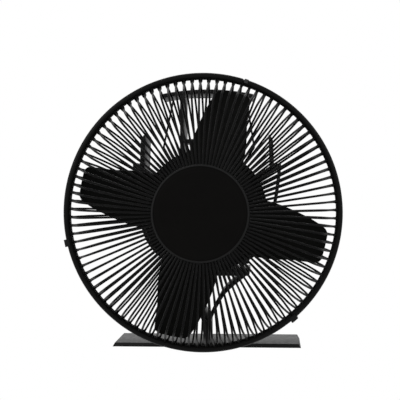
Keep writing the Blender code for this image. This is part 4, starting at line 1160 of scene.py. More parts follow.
@dataclass
class ColdBody(Assembly):
    """The finned extrusion: hub, arms, outer fins, upright fins and arched top bar."""

    half_width: float = 0.0538
    plate_thickness: float = 0.0053
    plate_half_width: float = 0.0303
    axis_above_plate: float = 0.0371
    corner_rise: float = 0.0353
    fin_thickness: float = 0.0024
    diagonal_thickness: float = 0.004
    spoke_thickness: float = 0.0035
    spoke_angle: float = -62.0
    hub_radius: float = 0.020
    bore_radius: float = 0.0163
    hub_fin_reach: float = 0.041
    hub_fin_angles: Triple = (8.0, -12.0, -32.0)
    boss_circle: float = 0.030
    boss_radius: float = 0.0036
    boss_hole_depth: float = 0.008
    drill_tip: float = 0.001
    upper_fin_thickness: float = 0.0034
    upper_fin_rise: float = 0.0209
    upper_fin_chamfer: float = 0.0042
    upper_fin_share: float = 0.892
    upper_fin_lean_share: float = 0.017
    fin_x: float = 0.0181
    upright_thickness: float = 0.0026
    top_bar_rise: float = 0.0891
    top_bar_half_width: float = 0.0334
    top_bar_crown: float = 0.0034
    top_bar_thickness: float = 0.003
    second_bar_rise: float = 0.0517
    second_bar_thickness: float = 0.003
    diagonal_end_shares: Pair = (0.967, 0.969)
    pivot_rise: float = 0.0282
    pivot_radius: float = 0.001
    rounding: float = 0.0003
    round_steps: int = 96
    boss_steps: int = 32
    crown_steps: int = 16
    fin_steps: int = 7
    # Places along the outer fin below and above the axis: across, and down or up, as shares
    lower_fin_shares: tuple[Pair, ...] = (
        (0.0, -0.973), (0.336, -0.817), (0.585, -0.6), (0.726, -0.375), (0.811, -0.12))
    higher_fin_shares: tuple[Pair, ...] = (
        (0.865, 0.16), (0.919, 0.394), (0.954, 0.589), (0.988, 0.813), (1.0, 1.0))

    def diagonal_end(self) -> Vector:
        """Return the outer end of the right diagonal arm, from the axis."""
        across, up = self.diagonal_end_shares
        return Vector((self.half_width * across, self.corner_rise * up))

    def bosses(self) -> dict[str, Triple]:
        """Return the centres of the four bosses by name, at Y = 0.

        Returns:
            The centres.
        """
        upper = self.diagonal_end().normalized() * self.boss_circle
        lower = Vector(polar(self.boss_circle, self.spoke_angle))
        return {
            row + side: (sign * point.x, 0.0, self.places.axis_height + point.y)
            for row, point in (("upper_", upper), ("lower_", lower)) for side, sign in SIDES.items()
        }

    def pivot(self) -> Triple:
        """Return the middle of the line that the carry handle turns about."""
        places = self.places
        return (0.0, (places.cold_front + places.cold_back) / 2, places.axis_height + self.pivot_rise)

    def top_height(self, x: float) -> float:
        """Return the height of the arched bar's top above the axis, at a distance from the middle plane."""
        return self.top_bar_rise - self.top_bar_crown * (x / self.top_bar_half_width) ** 2

    def straight_web(self, end: Sequence[float], thickness: float) -> Outline:
        """Return the outline of a straight web from the axis to its outer end."""
        return wall_outline([(0.0, 0.0), tuple(end)], thickness / 2, thickness / 2)

    def webs(self) -> list[Outline]:
        """Return the outlines of all webs from the axis.

        Returns:
            The outlines.
        """
        inner_x = self.plate_half_width - self.fin_thickness
        width = self.half_width - inner_x
        points = [(across, up * self.axis_above_plate) for across, up in self.lower_fin_shares]
        points += [(across, up * self.corner_rise) for across, up in self.higher_fin_shares]
        face = [(inner_x + across * width, v) for across, v in points]
        outer_x = self.half_width * self.upper_fin_share
        lean = self.half_width * self.upper_fin_lean_share
        end = self.diagonal_end()
        inner_upper = outer_x - self.upper_fin_thickness
        foot = inner_upper * end.y / end.x
        top = self.corner_rise + self.upper_fin_rise
        half_upright = self.upright_thickness / 2
        spoke_end = polar(self.axis_above_plate - self.plate_thickness / 2, self.spoke_angle)
        right = [
            wall_outline(smooth_path(face, self.fin_steps), self.fin_thickness, 0.0),
            [
                (inner_upper + lean, foot), (outer_x + lean, foot),
                (outer_x, top - self.upper_fin_chamfer), (outer_x - self.upper_fin_chamfer / 2, top),
                (inner_upper, top),
            ],
            self.straight_web(end, self.diagonal_thickness),
            self.straight_web(spoke_end, self.spoke_thickness),
            rectangle(
                self.fin_x - half_upright, self.fin_x + half_upright, 0.0,
                self.top_height(self.fin_x) - self.top_bar_thickness / 2),
        ]
        tips = [polar(self.hub_fin_reach, angle) for angle in self.hub_fin_angles]
        right += [self.straight_web(tip, self.fin_thickness) for tip in tips]
        steps = self.crown_steps
        places = [self.top_bar_half_width * (step / steps - 1) for step in range(2 * steps + 1)]
        crown = wall_outline([(x, self.top_height(x)) for x in places], 0.0, self.top_bar_thickness)
        low = self.second_bar_rise - self.second_bar_thickness / 2
        second = rectangle(-self.fin_x, self.fin_x, low, low + self.second_bar_thickness)
        return right + [mirrored(outline) for outline in right] + [crown, second]

    def build(self) -> None:
        """Make the extrusion: webs joined, bore cut, edges rounded, then the screw holes cut."""
        places = self.places
        front, back = places.cold_front, places.cold_back
        low = (-self.plate_half_width, front, places.plate_low)
        high = (self.plate_half_width, back, places.plate_low + self.plate_thickness)
        body = Shape().block(low, high).close("cold_extrusion")
        shapes = [Shape().prism(raised(web, places.axis_height), front, back) for web in self.webs()]
        shapes.append(Shape().turned(rod(self.hub_radius, front, back), places.axis, steps=self.round_steps))
        boss = rod(self.boss_radius, front, back)
        shapes += [Shape().turned(boss, centre, steps=self.boss_steps) for centre in self.bosses().values()]
        combine(body, Joining.ADD, shapes)
        bore = rod(self.bore_radius, front - CUT_OVERRUN, back + CUT_OVERRUN)
        combine(body, Joining.CUT, [Shape().turned(bore, places.axis, steps=self.round_steps)])
        round_edges(body, self.rounding)
        combine(body, Joining.CUT, self.holes())
        self.shop.dress(body, Slot.EXTRUSION, Body.FRAME, ["cold_body"])

    def holes(self) -> list[Shape]:
        """Return the shapes of the drilled holes.

        Returns:
            The shapes.
        """
        places = self.places
        near = places.cold_front - CUT_OVERRUN
        deep = near + self.boss_hole_depth
        blind = [(0.0, near), (SCREW_HOLE, near), (SCREW_HOLE, deep), (0.0, deep + self.drill_tip)]
        shapes = [Shape().turned(blind, centre) for centre in self.bosses().values()]
        through = rod(SCREW_HOLE, -CUT_OVERRUN, self.plate_thickness + CUT_OVERRUN)
        for side in SIDES:
            x, y, _ = middle_of("clamp_screw_" + side)
            shapes.append(Shape().turned(through, (x, y, places.plate_low), Z_AXIS))
        reach = self.fin_x + self.upright_thickness
        shapes.append(Shape().turned(rod(self.pivot_radius, -reach, reach), self.pivot(), X_AXIS))
        centre = (0.0, middle_of("motor_set_screw")[1], places.axis_height)
        shapes.append(Shape().turned(rod(SCREW_HOLE, 0.0, self.hub_radius + CUT_OVERRUN), centre, Z_AXIS))
        return shapes


# Motor


@dataclass
class Motor(Assembly):
    """The small direct-current motor in the hub of the cold body, and its two leads."""

    radius: float = 0.016
    wall: float = 0.0008
    boss_radius: float = 0.0046
    boss_length: float = MOTOR_BOSS_LENGTH
    bush_seat: float = 0.0038
    rounding: float = 0.0011
    vent_size: Pair = (0.0024, 0.005)
    vent_place: float = 0.003
    vent_angles: tuple[float, ...] = (40.0, 140.0, 220.0, 320.0)
    vent_inside: float = 0.0006
    vent_outside: float = 0.001
    vent_bend_share: float = 0.8
    corner_steps: int = 4
    cap_step: float = 0.0005
    cap_lip: float = 0.0015
    cap_ring_gap: float = 0.0026
    cap_ring_wall: float = 0.001
    cap_rounding: float = 0.0002
    terminal_x: float = 0.009
    terminal_hole: float = 0.0007
    terminal_hole_share: float = 0.8
    terminal_hole_steps: int = 16
    terminal_bend: range = range(-75, 76, 15)
    solder_size: Triple = (0.0009, 0.0012, 0.0009)
    solder_out: float = 0.0002
    set_screw: Screw = Screw(socket_across=0.0013)
    lead_radius: float = 0.0006
    lead_sides: int = 16
    lead_steps: int = 6
    steps: int = 96
    lead_route: tuple[Triple, ...] = (
        (0.012, 0.0155, 0.0583), (0.012, 0.018, 0.0584), (0.0118, 0.0197, 0.0604),
        (0.0112, 0.0203, 0.068), (0.0104, 0.0202, 0.078), (0.0097, 0.019, 0.087),
        (0.0093, 0.0158, 0.0932), (0.009, 0.0105, 0.0966), (0.009, 0.004, 0.0974),
        (0.009, -0.003, 0.0975), (0.009, -0.007, 0.0975),
    )

    def build(self) -> None:
        """Make the motor's visible pieces and dress what is sealed inside."""
        self.build_can()
        self.build_end_cap()
        self.build_terminals()
        self.build_leads()
        low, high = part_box("motor_set_screw")
        centre = (0.0, (low.y + high.y) / 2, 0.0)
        screw = self.set_screw.make("motor_socket_set_screw", centre, Z_AXIS, low.z, high.z, high.z)
        self.shop.dress(screw, Slot.STEEL, Body.FRAME, ["motor_set_screw"], Shading.MACHINED)
        for slot, nodes in (
            (Slot.MAGNET, ("motor_magnet_left", "motor_magnet_right")),
            (Slot.BRONZE, ("motor_front_bush", "motor_rear_bush")),
            (Slot.BRASS, ("motor_brush_left", "motor_brush_right", "commutator")),
            (Slot.IRON, ("armature_core",)),
            (Slot.COPPER, ("armature_coil_1", "armature_coil_2", "armature_coil_3")),
        ):
            for node in nodes:
                self.shop.keep(node, slot)

    def build_can(self) -> None:
        """Make the drawn can with its boss, its vents and its crimped rear edge."""
        places = self.places
        inner = self.radius - self.wall
        front, back = places.motor_front, places.motor_back
        nose = front - self.boss_length
        inside = front + self.wall
        profile = rounded_profile([
            (inner, back), (self.radius, back), (self.radius, front), (self.boss_radius, front),
            (self.boss_radius, nose), (self.bush_seat, nose), (self.bush_seat, inside), (inner, inside),
        ], self.rounding, self.corner_steps)
        can = Shape().turned(profile, places.axis, steps=self.steps).close("motor_drawn_can")
        half = self.vent_size[0] / 2
        low = front + self.vent_place
        outline = rectangle(low, low + self.vent_size[1], -half, half)
        corners = bent_path(outline + outline[:2], half * self.vent_bend_share, self.corner_steps)[1:-1]
        near, far = inner - self.vent_inside, self.radius + self.vent_outside
        vents = []
        for angle in self.vent_angles:
            spin = Matrix.Translation(places.axis) @ Matrix.Rotation(radians(angle), 4, "Y") @ ALONG_X
            vents.append(Shape().prism(corners, near, far, spin))
        combine(can, Joining.CUT, vents)
        self.shop.dress(can, Slot.STEEL, Body.FRAME, ["motor_can"])

    def build_end_cap(self) -> None:
        """Make the moulded end cap with its raised ring and the terminals' slots."""
        low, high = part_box("motor_end_cap")
        radius = (high.x - low.x) / 2
        lip = radius - self.cap_lip
        ring = self.bush_seat + self.cap_ring_gap
        outer = ring + self.cap_ring_wall
        face = high.y - self.cap_step
        profile = rounded_profile([
            (self.bush_seat, low.y), (radius, low.y), (radius, face), (lip, face), (lip, high.y),
            (outer, high.y), (outer, face), (ring, face), (ring, high.y), (self.bush_seat, high.y),
        ], self.cap_rounding)
        cap = Shape().turned(profile, self.places.axis, steps=self.steps).close("motor_moulded_end_cap")
        gap = Vector((CLEARANCE, CUT_OVERRUN, CLEARANCE))
        tabs = [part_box("motor_terminal_" + side) for side in SIDES]
        slots = [Shape().block(tab_low - gap, tab_high + gap) for tab_low, tab_high in tabs]
        combine(cap, Joining.CUT, slots)
        self.shop.dress(cap, Slot.PLASTIC, Body.FRAME, ["motor_end_cap"])

    def build_terminals(self) -> None:
        """Make the two tabs, each with a rounded end and a hole, and the solder on it."""
        for side, sign in SIDES.items():
            low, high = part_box("motor_terminal_" + side)
            half = (high.z - low.z) / 2
            middle = (high.z + low.z) / 2
            bend = high.y - half
            turns = [radians(angle) for angle in self.terminal_bend]
            tab = [(low.y, middle - half), (bend, middle - half)]
            tab += [(bend + half * cos(turn), middle + half * sin(turn)) for turn in turns]
            tab += [(bend, middle + half), (low.y, middle + half)]
            piece = Shape().prism(tab, low.x, high.x, ALONG_X).close("motor_tab_" + side)
            hole = rod(self.terminal_hole, low.x - CUT_OVERRUN, high.x + CUT_OVERRUN)
            centre = (0.0, high.y - half * self.terminal_hole_share, middle)
            combine(piece, Joining.CUT, [Shape().turned(hole, centre, X_AXIS, self.terminal_hole_steps)])
            self.shop.dress(piece, Slot.BRASS, Body.FRAME, ["motor_terminal_" + side])
            place = Vector((sign * self.terminal_x, high.y + self.solder_out, middle))
            solder = Shape().bead(place, self.solder_size, Matrix.Identity(3)).close("solder_" + side)
            self.shop.dress(solder, Slot.STEEL, Body.FRAME, [], Shading.ROUND)

    def build_leads(self) -> None:
        """Make the two silicone leads."""
        for name, side, slot in (("red_lead", 1, Slot.RED_LEAD), ("black_lead", -1, Slot.BLACK_LEAD)):
            route = smooth_path([(side * x, y, z) for x, y, z in self.lead_route], self.lead_steps)
            piece = Shape().wire(route, self.lead_radius, self.lead_sides).close(name + "_sleeve")
            self.shop.dress(piece, slot, Body.FRAME, [name], Shading.ROUND)


# Rotor


@dataclass
class Rotor(Assembly):
    """Four petal blades pressed from one sheet, on a riveted hub and the motor's shaft."""

    blade_radius: float = 0.086
    sheet: float = 0.0009
    camber: float = 0.0015
    root_radius: float = 0.015
    hole_radius: float = 0.0043
    root_half_angle: float = 40.0
    root_pitch: float = 28.0
    tip_pitch: float = 20.0
    lean: float = -13.5
    count: int = 4
    chord_steps: int = 18
    station_steps: int = 4
    edge: float = 0.0002
    edge_angle: float = 60.0
    bore: float = 0.0018
    barrel: float = 0.006
    flange: float = 0.002
    hub_rounding: float = 0.0004
    hub_steps: int = 72
    rivet_radius: float = 0.001
    rivet_head: float = 0.0008
    rivet_steps: int = 32
    dome_angles: tuple[float, ...] = (20.0, 40.0, 60.0, 75.0, 90.0)
    grub_screw: Screw = Screw(socket_across=0.0013)
    shaft_radius: float = 0.0015
    shaft_rounding: float = 0.0003
    shaft_steps: int = 40
    # Share of the blade's radius, trailing and leading half angle, and share of the twist
    stations: tuple[tuple[float, float, float, float], ...] = (
        (0.256, 38.5, 38.5, 0.5), (0.349, 34.5, 34.5, 1.0), (0.442, 29.5, 29.8, 1.0),
        (0.523, 24.8, 25.3, 1.0), (0.622, 20.0, 20.5, 1.0), (0.698, 16.5, 17.1, 1.0),
        (0.779, 13.3, 14.0, 1.0), (0.86, 11.4, 11.2, 1.0), (0.93, 10.0, 8.8, 1.0),
        (0.977, 9.0, 7.0, 1.0), (1.0, 6.8, 4.8, 1.0),
    )

    def blade_plane(self) -> float:
        """Return the place of the sheet's middle along Y."""
        return self.places.shaft_front + self.sheet / 2

    def row(self, station: Sequence[float], turn: float) -> list[Triple]:
        """Return the points across a blade.

        Args:
            station: Radius, two half angles and the share of the twist.
            turn: Angle of the blade's middle line in degrees.

        Returns:
            The points.
        """
        radius, trailing, leading, twist = station
        pitch = self.root_pitch + (self.tip_pitch - self.root_pitch) * radius / self.blade_radius
        points = []
        for step in range(self.chord_steps + 1):
            across = 2 * step / self.chord_steps - 1
            angle = turn + (leading if across > 0 else trailing) * across
            offset = radius * sin(radians(angle - turn))
            depth = twist * (offset * tan(radians(pitch)) + self.camber * (1 - across ** 2))
            x, z = polar(radius, angle)
            points.append((x, self.blade_plane() + depth, self.places.axis_height + z))
        return points

    def build(self) -> None:
        """Make the blades, the hub, the rivets, the grub screw and the shaft."""
        self.build_blades()
        self.build_hub()
        self.build_rivets()
        self.build_shaft()

    def build_blades(self) -> None:
        """Make the pressed sheet."""
        shape = Shape()
        root_ring = []
        hole_ring = []
        half = self.root_half_angle
        outer = [(self.blade_radius * share, *rest) for share, *rest in self.stations]
        for blade in range(self.count):
            turn = self.lean + 360.0 * blade / self.count
            stations = smooth_path([(self.root_radius, half, half, 0.0), *outer], self.station_steps)
            rows = [shape.ring(self.row(station, turn)) for station in stations]
            for near, far in zip(rows, rows[1:]):
                shape.join(near, far, closed=False)
            root_ring += rows[0]
            hole_ring += shape.ring(self.row((self.hole_radius, half, half, 0.0), turn))
        shape.join(hole_ring, root_ring)
        blades = shape.close("pressed_blades")
        thick = blades.modifiers.new("sheet", "SOLIDIFY")
        thick.thickness = self.sheet
        thick.offset = 0.0
        soft = blades.modifiers.new("edge", "BEVEL")
        soft.width = self.edge
        soft.segments = ROUND_STEPS
        soft.limit_method = "ANGLE"
        soft.angle_limit = radians(self.edge_angle)
        settle(blades)
        self.shop.dress(blades, Slot.BLADES, Body.ROTOR, ["blade_rotor"], Shading.BENT)

    def build_hub(self) -> None:
        """Make the turned hub with the grub screw's hole."""
        places = self.places
        low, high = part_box("blade_hub")
        bore = self.bore
        spigot = self.hole_radius - CLEARANCE
        flange_radius = (high.x - low.x) / 2
        flange_front = self.blade_plane() + self.sheet / 2 + CLEARANCE
        flange_back = flange_front + self.flange
        profile = rounded_profile([
            (bore, low.y), (spigot, low.y), (spigot, flange_front), (flange_radius, flange_front),
            (flange_radius, flange_back), (self.barrel, flange_back), (self.barrel, high.y), (bore, high.y),
        ], self.hub_rounding)
        hub = Shape().turned(profile, places.axis, steps=self.hub_steps).close("turned_hub")
        centre = (0.0, middle_of("hub_grub_screw")[1], places.axis_height)
        hole = Shape().turned(rod(bore, 0.0, self.barrel + CUT_OVERRUN), centre, Z_AXIS)
        combine(hub, Joining.CUT, [hole])
        self.shop.dress(hub, Slot.ALUMINIUM, Body.ROTOR, ["blade_hub"])

    def build_rivets(self) -> None:
        """Make the rivets, each with a domed head at both ends."""
        head, shank = self.rivet_head, self.rivet_radius
        for index in range(1, self.count + 1):
            node = "hub_rivet_%d" % index
            low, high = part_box(node)
            x, _, z = middle_of(node)
            wide = (high.x - low.x) / 2
            dome = [(wide * sin(radians(angle)), head * cos(radians(angle))) for angle in self.dome_angles]
            front = [(radius, low.y + head - rise) for radius, rise in dome]
            back = [(radius, high.y - head + rise) for radius, rise in reversed(dome)]
            neck = [(shank, low.y + head), (shank, high.y - head)]
            profile = [(0.0, low.y), *front, *neck, *back, (0.0, high.y)]
            rivet = Shape().turned(profile, (x, 0.0, z), steps=self.rivet_steps)
            made = rivet.close("domed_rivet_%d" % index)
            self.shop.dress(made, Slot.ALUMINIUM, Body.ROTOR, [node])

    def build_shaft(self) -> None:
        """Make the grub screw of the hub and the shaft."""
        low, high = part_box("hub_grub_screw")
        centre = (0.0, (low.y + high.y) / 2, 0.0)
        grub = self.grub_screw.make("hub_socket_grub_screw", centre, Z_AXIS, low.z, high.z, high.z)
        self.shop.dress(grub, Slot.SCREW, Body.ROTOR, ["hub_grub_screw"], Shading.MACHINED)
        low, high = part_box("motor_shaft")
        profile = rounded_profile(rod(self.shaft_radius, low.y, high.y), self.shaft_rounding)
        shaft = Shape().turned(profile, self.places.axis, steps=self.shaft_steps).close("ground_shaft")
        self.shop.dress(shaft, Slot.STEEL, Body.ROTOR, ["motor_shaft"])


# Cage


@dataclass(frozen=True)
class Lay:
    """How one half's wires lie: their turn and shift at the rim and at the hub, and where they lean."""

    rim_turn: float
    hub_turn: float
    rim_shift: Pair
    hub_shift: Pair
    rim_leans: tuple[Pair, ...]
    hub_leans: tuple[Pair, ...]

    def lean(self, leans: Sequence[Pair], angle: float) -> float:
        """Return how far the wires lean at an angle.

        Args:
            leans: Places round the cage and the lean at each, in degrees.
            angle: The angle in degrees.

        Returns:
            The lean in degrees.
        """
        first, last = leans[0], leans[-1]
        places = [(last[0] - 360.0, last[1]), *leans, (first[0] + 360.0, first[1])]
        angle %= 360.0
        (start, low), (end, high) = next(pair for pair in zip(places, places[1:]) if angle <= pair[1][0])
        return low + (high - low) * (angle - start) / (end - start)

    def at(self, angle: float, share: float) -> Triple:
        """Return the turn in degrees and the shift along X and Z.

        Args:
            angle: The wire's angle in degrees within the pattern.
            share: 0 at the rim and 1 at the hub.

        Returns:
            The turn and the two shifts.
        """
        place = angle + self.rim_turn
        rim = self.rim_turn + self.lean(self.rim_leans, place)
        hub = self.hub_turn + self.lean(self.hub_leans, place)
        x, z = (near + (far - near) * share for near, far in zip(self.rim_shift, self.hub_shift))
        return (rim + (hub - rim) * share, x, z)


@dataclass
class GuardHalf(Assembly):
    """One half of the cage: a wire ring, a hundred bent wires and a weld at the rim end of each."""

    name: str
    node: str
    ring_y: float
    bow: float
    shares: tuple[Pair, ...]
    lay: Lay
    seam_angle: Optional[float] = None
    cage_radius: float = CAGE_RADIUS
    ring_wire: float = RING_WIRE
    wire: float = 0.00146
    rim_radius: float = 0.0903
    count: int = 100
    seam: float = 0.0016
    seam_rounding: float = 0.0003
    wire_sides: int = 12
    ring_sides: int = 32
    ring_steps: int = 300
    path_steps: int = 3
    weld: Triple = (0.003, 0.00075, 0.0011)

    def place(self, radius: float, y: float, turn: float) -> Vector:
        """Return a point of the cage from its distance to the axis, its Y and its angle in degrees."""
        x, z = polar(radius, turn)
        return Vector((x, y, self.places.cage_height + z))

    def wire_path(self, turn: float) -> list[Vector]:
        """Return the path of one wire from the ring to the hub.

        Args:
            turn: The wire's angle in degrees within the pattern.

        Returns:
            The points.
        """
        points = []
        for share in smooth_path(self.shares, self.path_steps):
            inward = (self.shares[0][0] - share.x) / (self.shares[0][0] - self.shares[-1][0])
            twist, x, z = self.lay.at(turn, inward)
            point = self.place(self.rim_radius * share.x, self.ring_y + self.bow * share.y, turn + twist)
            points.append(point + Vector((x, 0.0, z)))
        return points

    def build(self) -> None:
        """Make the ring with the welds, and the wires."""
        half = self.ring_wire / 2
        middle = self.cage_radius - half
        ring = Shape()
        if self.seam_angle is None:
            section = [polar(half, 360.0 * side / self.ring_sides) for side in range(self.ring_sides)]
            profile = [(middle + offset, self.ring_y + along) for offset, along in section]
            ring.turned(profile, self.places.cage_axis, steps=self.ring_steps)
        else:
            gap = self.seam / middle * 180 / pi
            span = 360.0 - gap
            start = self.seam_angle + gap / 2
            turns = [start + span * step / self.ring_steps for step in range(self.ring_steps + 1)]
            path = [self.place(middle, self.ring_y, turn) for turn in turns]
            ring.wire(path, half, self.ring_sides, self.seam_rounding)
        wires = Shape()
        for index in range(self.count):
            turn = 360.0 * index / self.count
            path = self.wire_path(turn)
            wires.wire(path, self.wire / 2, self.wire_sides)
            spin = Matrix.Rotation(-radians(turn + self.lay.at(turn, 0.0)[0]), 3, "Y")
            ring.bead(path[0], self.weld, spin)
        for shape, kind in ((ring, "_ring"), (wires, "_bars")):
            made = shape.close(self.name + kind)
            self.shop.dress(made, Slot.WIRE, Body.FRAME, [self.node], Shading.ROUND)


@dataclass
class Clip(Assembly):
    """A strip of steel bent round both rings from outside."""

    name: str
    node: str
    angle: float
    width: float
    thickness: float
    grip: float = 0.0028
    cage_radius: float = CAGE_RADIUS
    bend: float = 0.0007
    bend_steps: int = 4
    proud: float = 0.0003
    rounding_share: float = 0.2
    rounded_angle: float = 50.0
    finish: Slot = Slot.CLIP

    def build(self) -> None:
        """Make the clip."""
        half = self.thickness / 2
        outer = self.cage_radius + self.proud + half
        inner = self.cage_radius + CLEARANCE - self.grip
        low = self.places.ring_front - CLEARANCE - half
        high = self.places.ring_back + CLEARANCE + half
        corners = [(inner, low), (outer, low), (outer, high), (inner, high)]
        outline = wall_outline(bent_path(corners, self.bend + half, self.bend_steps), half, half)
        place = Matrix.Translation(self.places.cage_axis) @ Matrix.Rotation(-radians(self.angle), 4, "Y")
        clip = Shape().prism(outline, -self.width / 2, self.width / 2, place).close(self.name)
        round_edges(clip, self.thickness * self.rounding_share, self.rounded_angle)
        self.shop.dress(clip, self.finish, Body.FRAME, [self.node])


@dataclass
class Cage(Assembly):
    """The round wire cage: two halves, front disc, rear plate, clips, standoffs and screws."""

    bosses: dict[str, Triple]
    front_bow: float = 0.0243
    rear_bow: float = 0.0284
    front_lay: Lay = Lay(
        rim_turn=1.5, hub_turn=2.4, rim_shift=(0.0005, -0.0004), hub_shift=(0.0008, -0.0004),
        rim_leans=(
            (0.0, 0.3), (60.0, 0.2), (84.0, -0.7), (120.0, -0.6), (144.0, 0.3), (216.0, 0.3), (240.0, -0.2),
            (324.0, 0.0)),
        hub_leans=((0.0, -0.1), (54.0, 0.1), (84.0, -0.5), (132.0, -0.1), (216.0, 0.2), (288.0, -0.5)))
    rear_lay: Lay = Lay(
        rim_turn=1.9, hub_turn=1.4, rim_shift=(0.0008, -0.0008), hub_shift=(0.0011, -0.0008),
        rim_leans=(
            (0.0, -0.3), (96.0, -0.2), (144.0, 0.3), (180.0, -0.4), (216.0, 0.0), (300.0, 0.3),
            (324.0, -0.2)),
        hub_leans=((0.0, 0.0), (90.0, 0.2), (204.0, 0.2), (216.0, -0.1), (300.0, 0.1), (336.0, -0.2)))
    disc_radius: float = 0.0326
    disc_bead: float = 0.0009
    disc_dish: float = 0.00022
    disc_depth: float = 0.0015
    disc_rings: int = 12
    disc_rim_share: float = 2.4
    bead_angles: range = range(-60, 91, 30)
    round_steps: int = 160
    plate_radius: float = 0.044
    plate_rounding: float = 0.0003
    shaft_opening: float = 0.006
    shaft_opening_steps: int = 48
    screw_head_height: float = 0.0017
    standoff_radius: float = 0.003
    standoff_bore: float = 0.0065
    standoff_chamfer: float = 0.0005
    stud_radius: float = 0.0015
    standoff_steps: int = 48
    screw: Screw = Screw(socket_across=0.002, socket_depth=0.001)
    seam_angle: float = 72.4
    clip_angles: Pair = (192.7, 311.0)
    clip_size: Pair = (0.005, 0.0011)
    latch_angle: float = 71.5
    latch_size: Pair = (0.0026, 0.0005)
    latch_sunk: float = 0.0002
    # Places along a wire: share of the rim's radius, and share of the half's bow
    front_shares: tuple[Pair, ...] = (
        (1.011, 0.04), (0.991, 0.16), (0.9745, 0.33), (0.958, 0.52), (0.941, 0.66), (0.908, 0.895),
        (0.864, 0.985), (0.775, 0.998), (0.5, 1.0), (0.311, 1.0))
    rear_shares: tuple[Pair, ...] = (
        (1.011, -0.05), (0.991, 0.16), (0.9745, 0.33), (0.958, 0.43), (0.941, 0.524), (0.908, 0.71),
        (0.864, 0.79), (0.775, 0.87), (0.642, 0.95), (0.498, 0.99), (0.437, 1.0))

    def build(self) -> None:
        """Make the whole cage."""
        self.build_halves()
        self.build_disc()
        self.build_plate()
        self.build_clips()
        self.build_standoffs()

    def build_halves(self) -> None:
        """Make the front and the rear half."""
        places = self.places
        front = places.ring_front + RING_WIRE / 2
        rear = places.ring_back - RING_WIRE / 2
        GuardHalf(
            self.shop, places, "front_guard", "front_guard_wires", front, -self.front_bow, self.front_shares,
            self.front_lay, self.seam_angle).build()
        GuardHalf(
            self.shop, places, "rear_guard", "rear_guard_wires", rear, self.rear_bow, self.rear_shares,
            self.rear_lay).build()

    def build_clips(self) -> None:
        """Make the two saddle clips and the spring latch."""
        for side, angle in zip(SIDES, self.clip_angles):
            name = "_clip_" + side
            Clip(self.shop, self.places, "saddle" + name, "guard" + name, angle, *self.clip_size).build()
        Clip(
            self.shop, self.places, "spring_latch", "guard_latch", self.latch_angle, *self.latch_size,
            proud=-self.latch_sunk, finish=Slot.SCREW).build()

    def build_disc(self) -> None:
        """Make the bare front disc with its raised rim."""
        front = self.places.disc_front
        face = front + self.disc_dish
        back = front + self.disc_depth
        rim = self.disc_radius
        bead = self.disc_bead
        flat = rim - self.disc_rim_share * bead
        profile = [(flat * step / self.disc_rings, face) for step in range(self.disc_rings + 1)]
        profile += [
            (rim - bead + bead * sin(radians(angle)), front + bead * (1 - cos(radians(angle))))
            for angle in self.bead_angles
        ]
        profile += [(rim, back), (0.0, back)]
        disc = Shape().turned(profile, self.places.cage_axis, steps=self.round_steps).close("front_disc")
        self.shop.dress(disc, Slot.DISC, Body.FRAME, ["front_guard_disc"], Shading.TURNED)

    def build_plate(self) -> None:
        """Make the rear plate with its shaft opening and screw holes."""
        places = self.places
        front, back = places.plate_front, places.plate_back
        profile = rounded_profile(rod(self.plate_radius, front, back), self.plate_rounding)
        plate = Shape().turned(profile, places.cage_axis, steps=self.round_steps).close("rear_plate")
        near, far = front - CUT_OVERRUN, back + CUT_OVERRUN
        opening = rod(self.shaft_opening, near, far)
        holes = [Shape().turned(opening, places.axis, steps=self.shaft_opening_steps)]
        holes += [Shape().turned(rod(SCREW_HOLE, near, far), centre) for centre in self.bosses.values()]
        combine(plate, Joining.CUT, holes)
        self.shop.dress(plate, Slot.DISC, Body.FRAME, ["rear_guard_plate"], Shading.TURNED)

    def build_standoffs(self) -> None:
        """Make the four standoffs and the screws into them."""
        chamfer, stud, wide = self.standoff_chamfer, self.stud_radius, self.standoff_radius
        seat = self.places.cold_front - CLEARANCE
        for corner in self.bosses:
            node = "guard_standoff_" + corner
            low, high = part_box(node)
            x, _, z = middle_of(node)
            bore = low.y + self.standoff_bore
            profile = [
                (SCREW_HOLE, low.y + chamfer / 2), (SCREW_HOLE + chamfer / 2, low.y), (wide - chamfer, low.y),
                (wide, low.y + chamfer), (wide, seat - chamfer), (wide - chamfer, seat), (stud, seat),
                (stud, high.y - chamfer), (stud - chamfer, high.y), (0.0, high.y), (0.0, bore),
                (SCREW_HOLE, bore - chamfer),
            ]
            standoff = Shape().turned(profile, (x, 0.0, z), steps=self.standoff_steps)
            made = standoff.close("turned_standoff_" + corner)
            self.shop.dress(made, Slot.ALUMINIUM, Body.FRAME, [node], Shading.MACHINED)
            node = "guard_screw_" + corner
            low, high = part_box(node)
            x, _, z = middle_of(node)
            length = high.y - low.y
            made = self.screw.make(
                "guard_socket_screw_" + corner, (x, high.y, z), (0.0, -1.0, 0.0), 0.0,
                length - self.screw_head_height, length)
            self.shop.dress(made, Slot.SCREW, Body.FRAME, [node], Shading.MACHINED)


# Carry handle


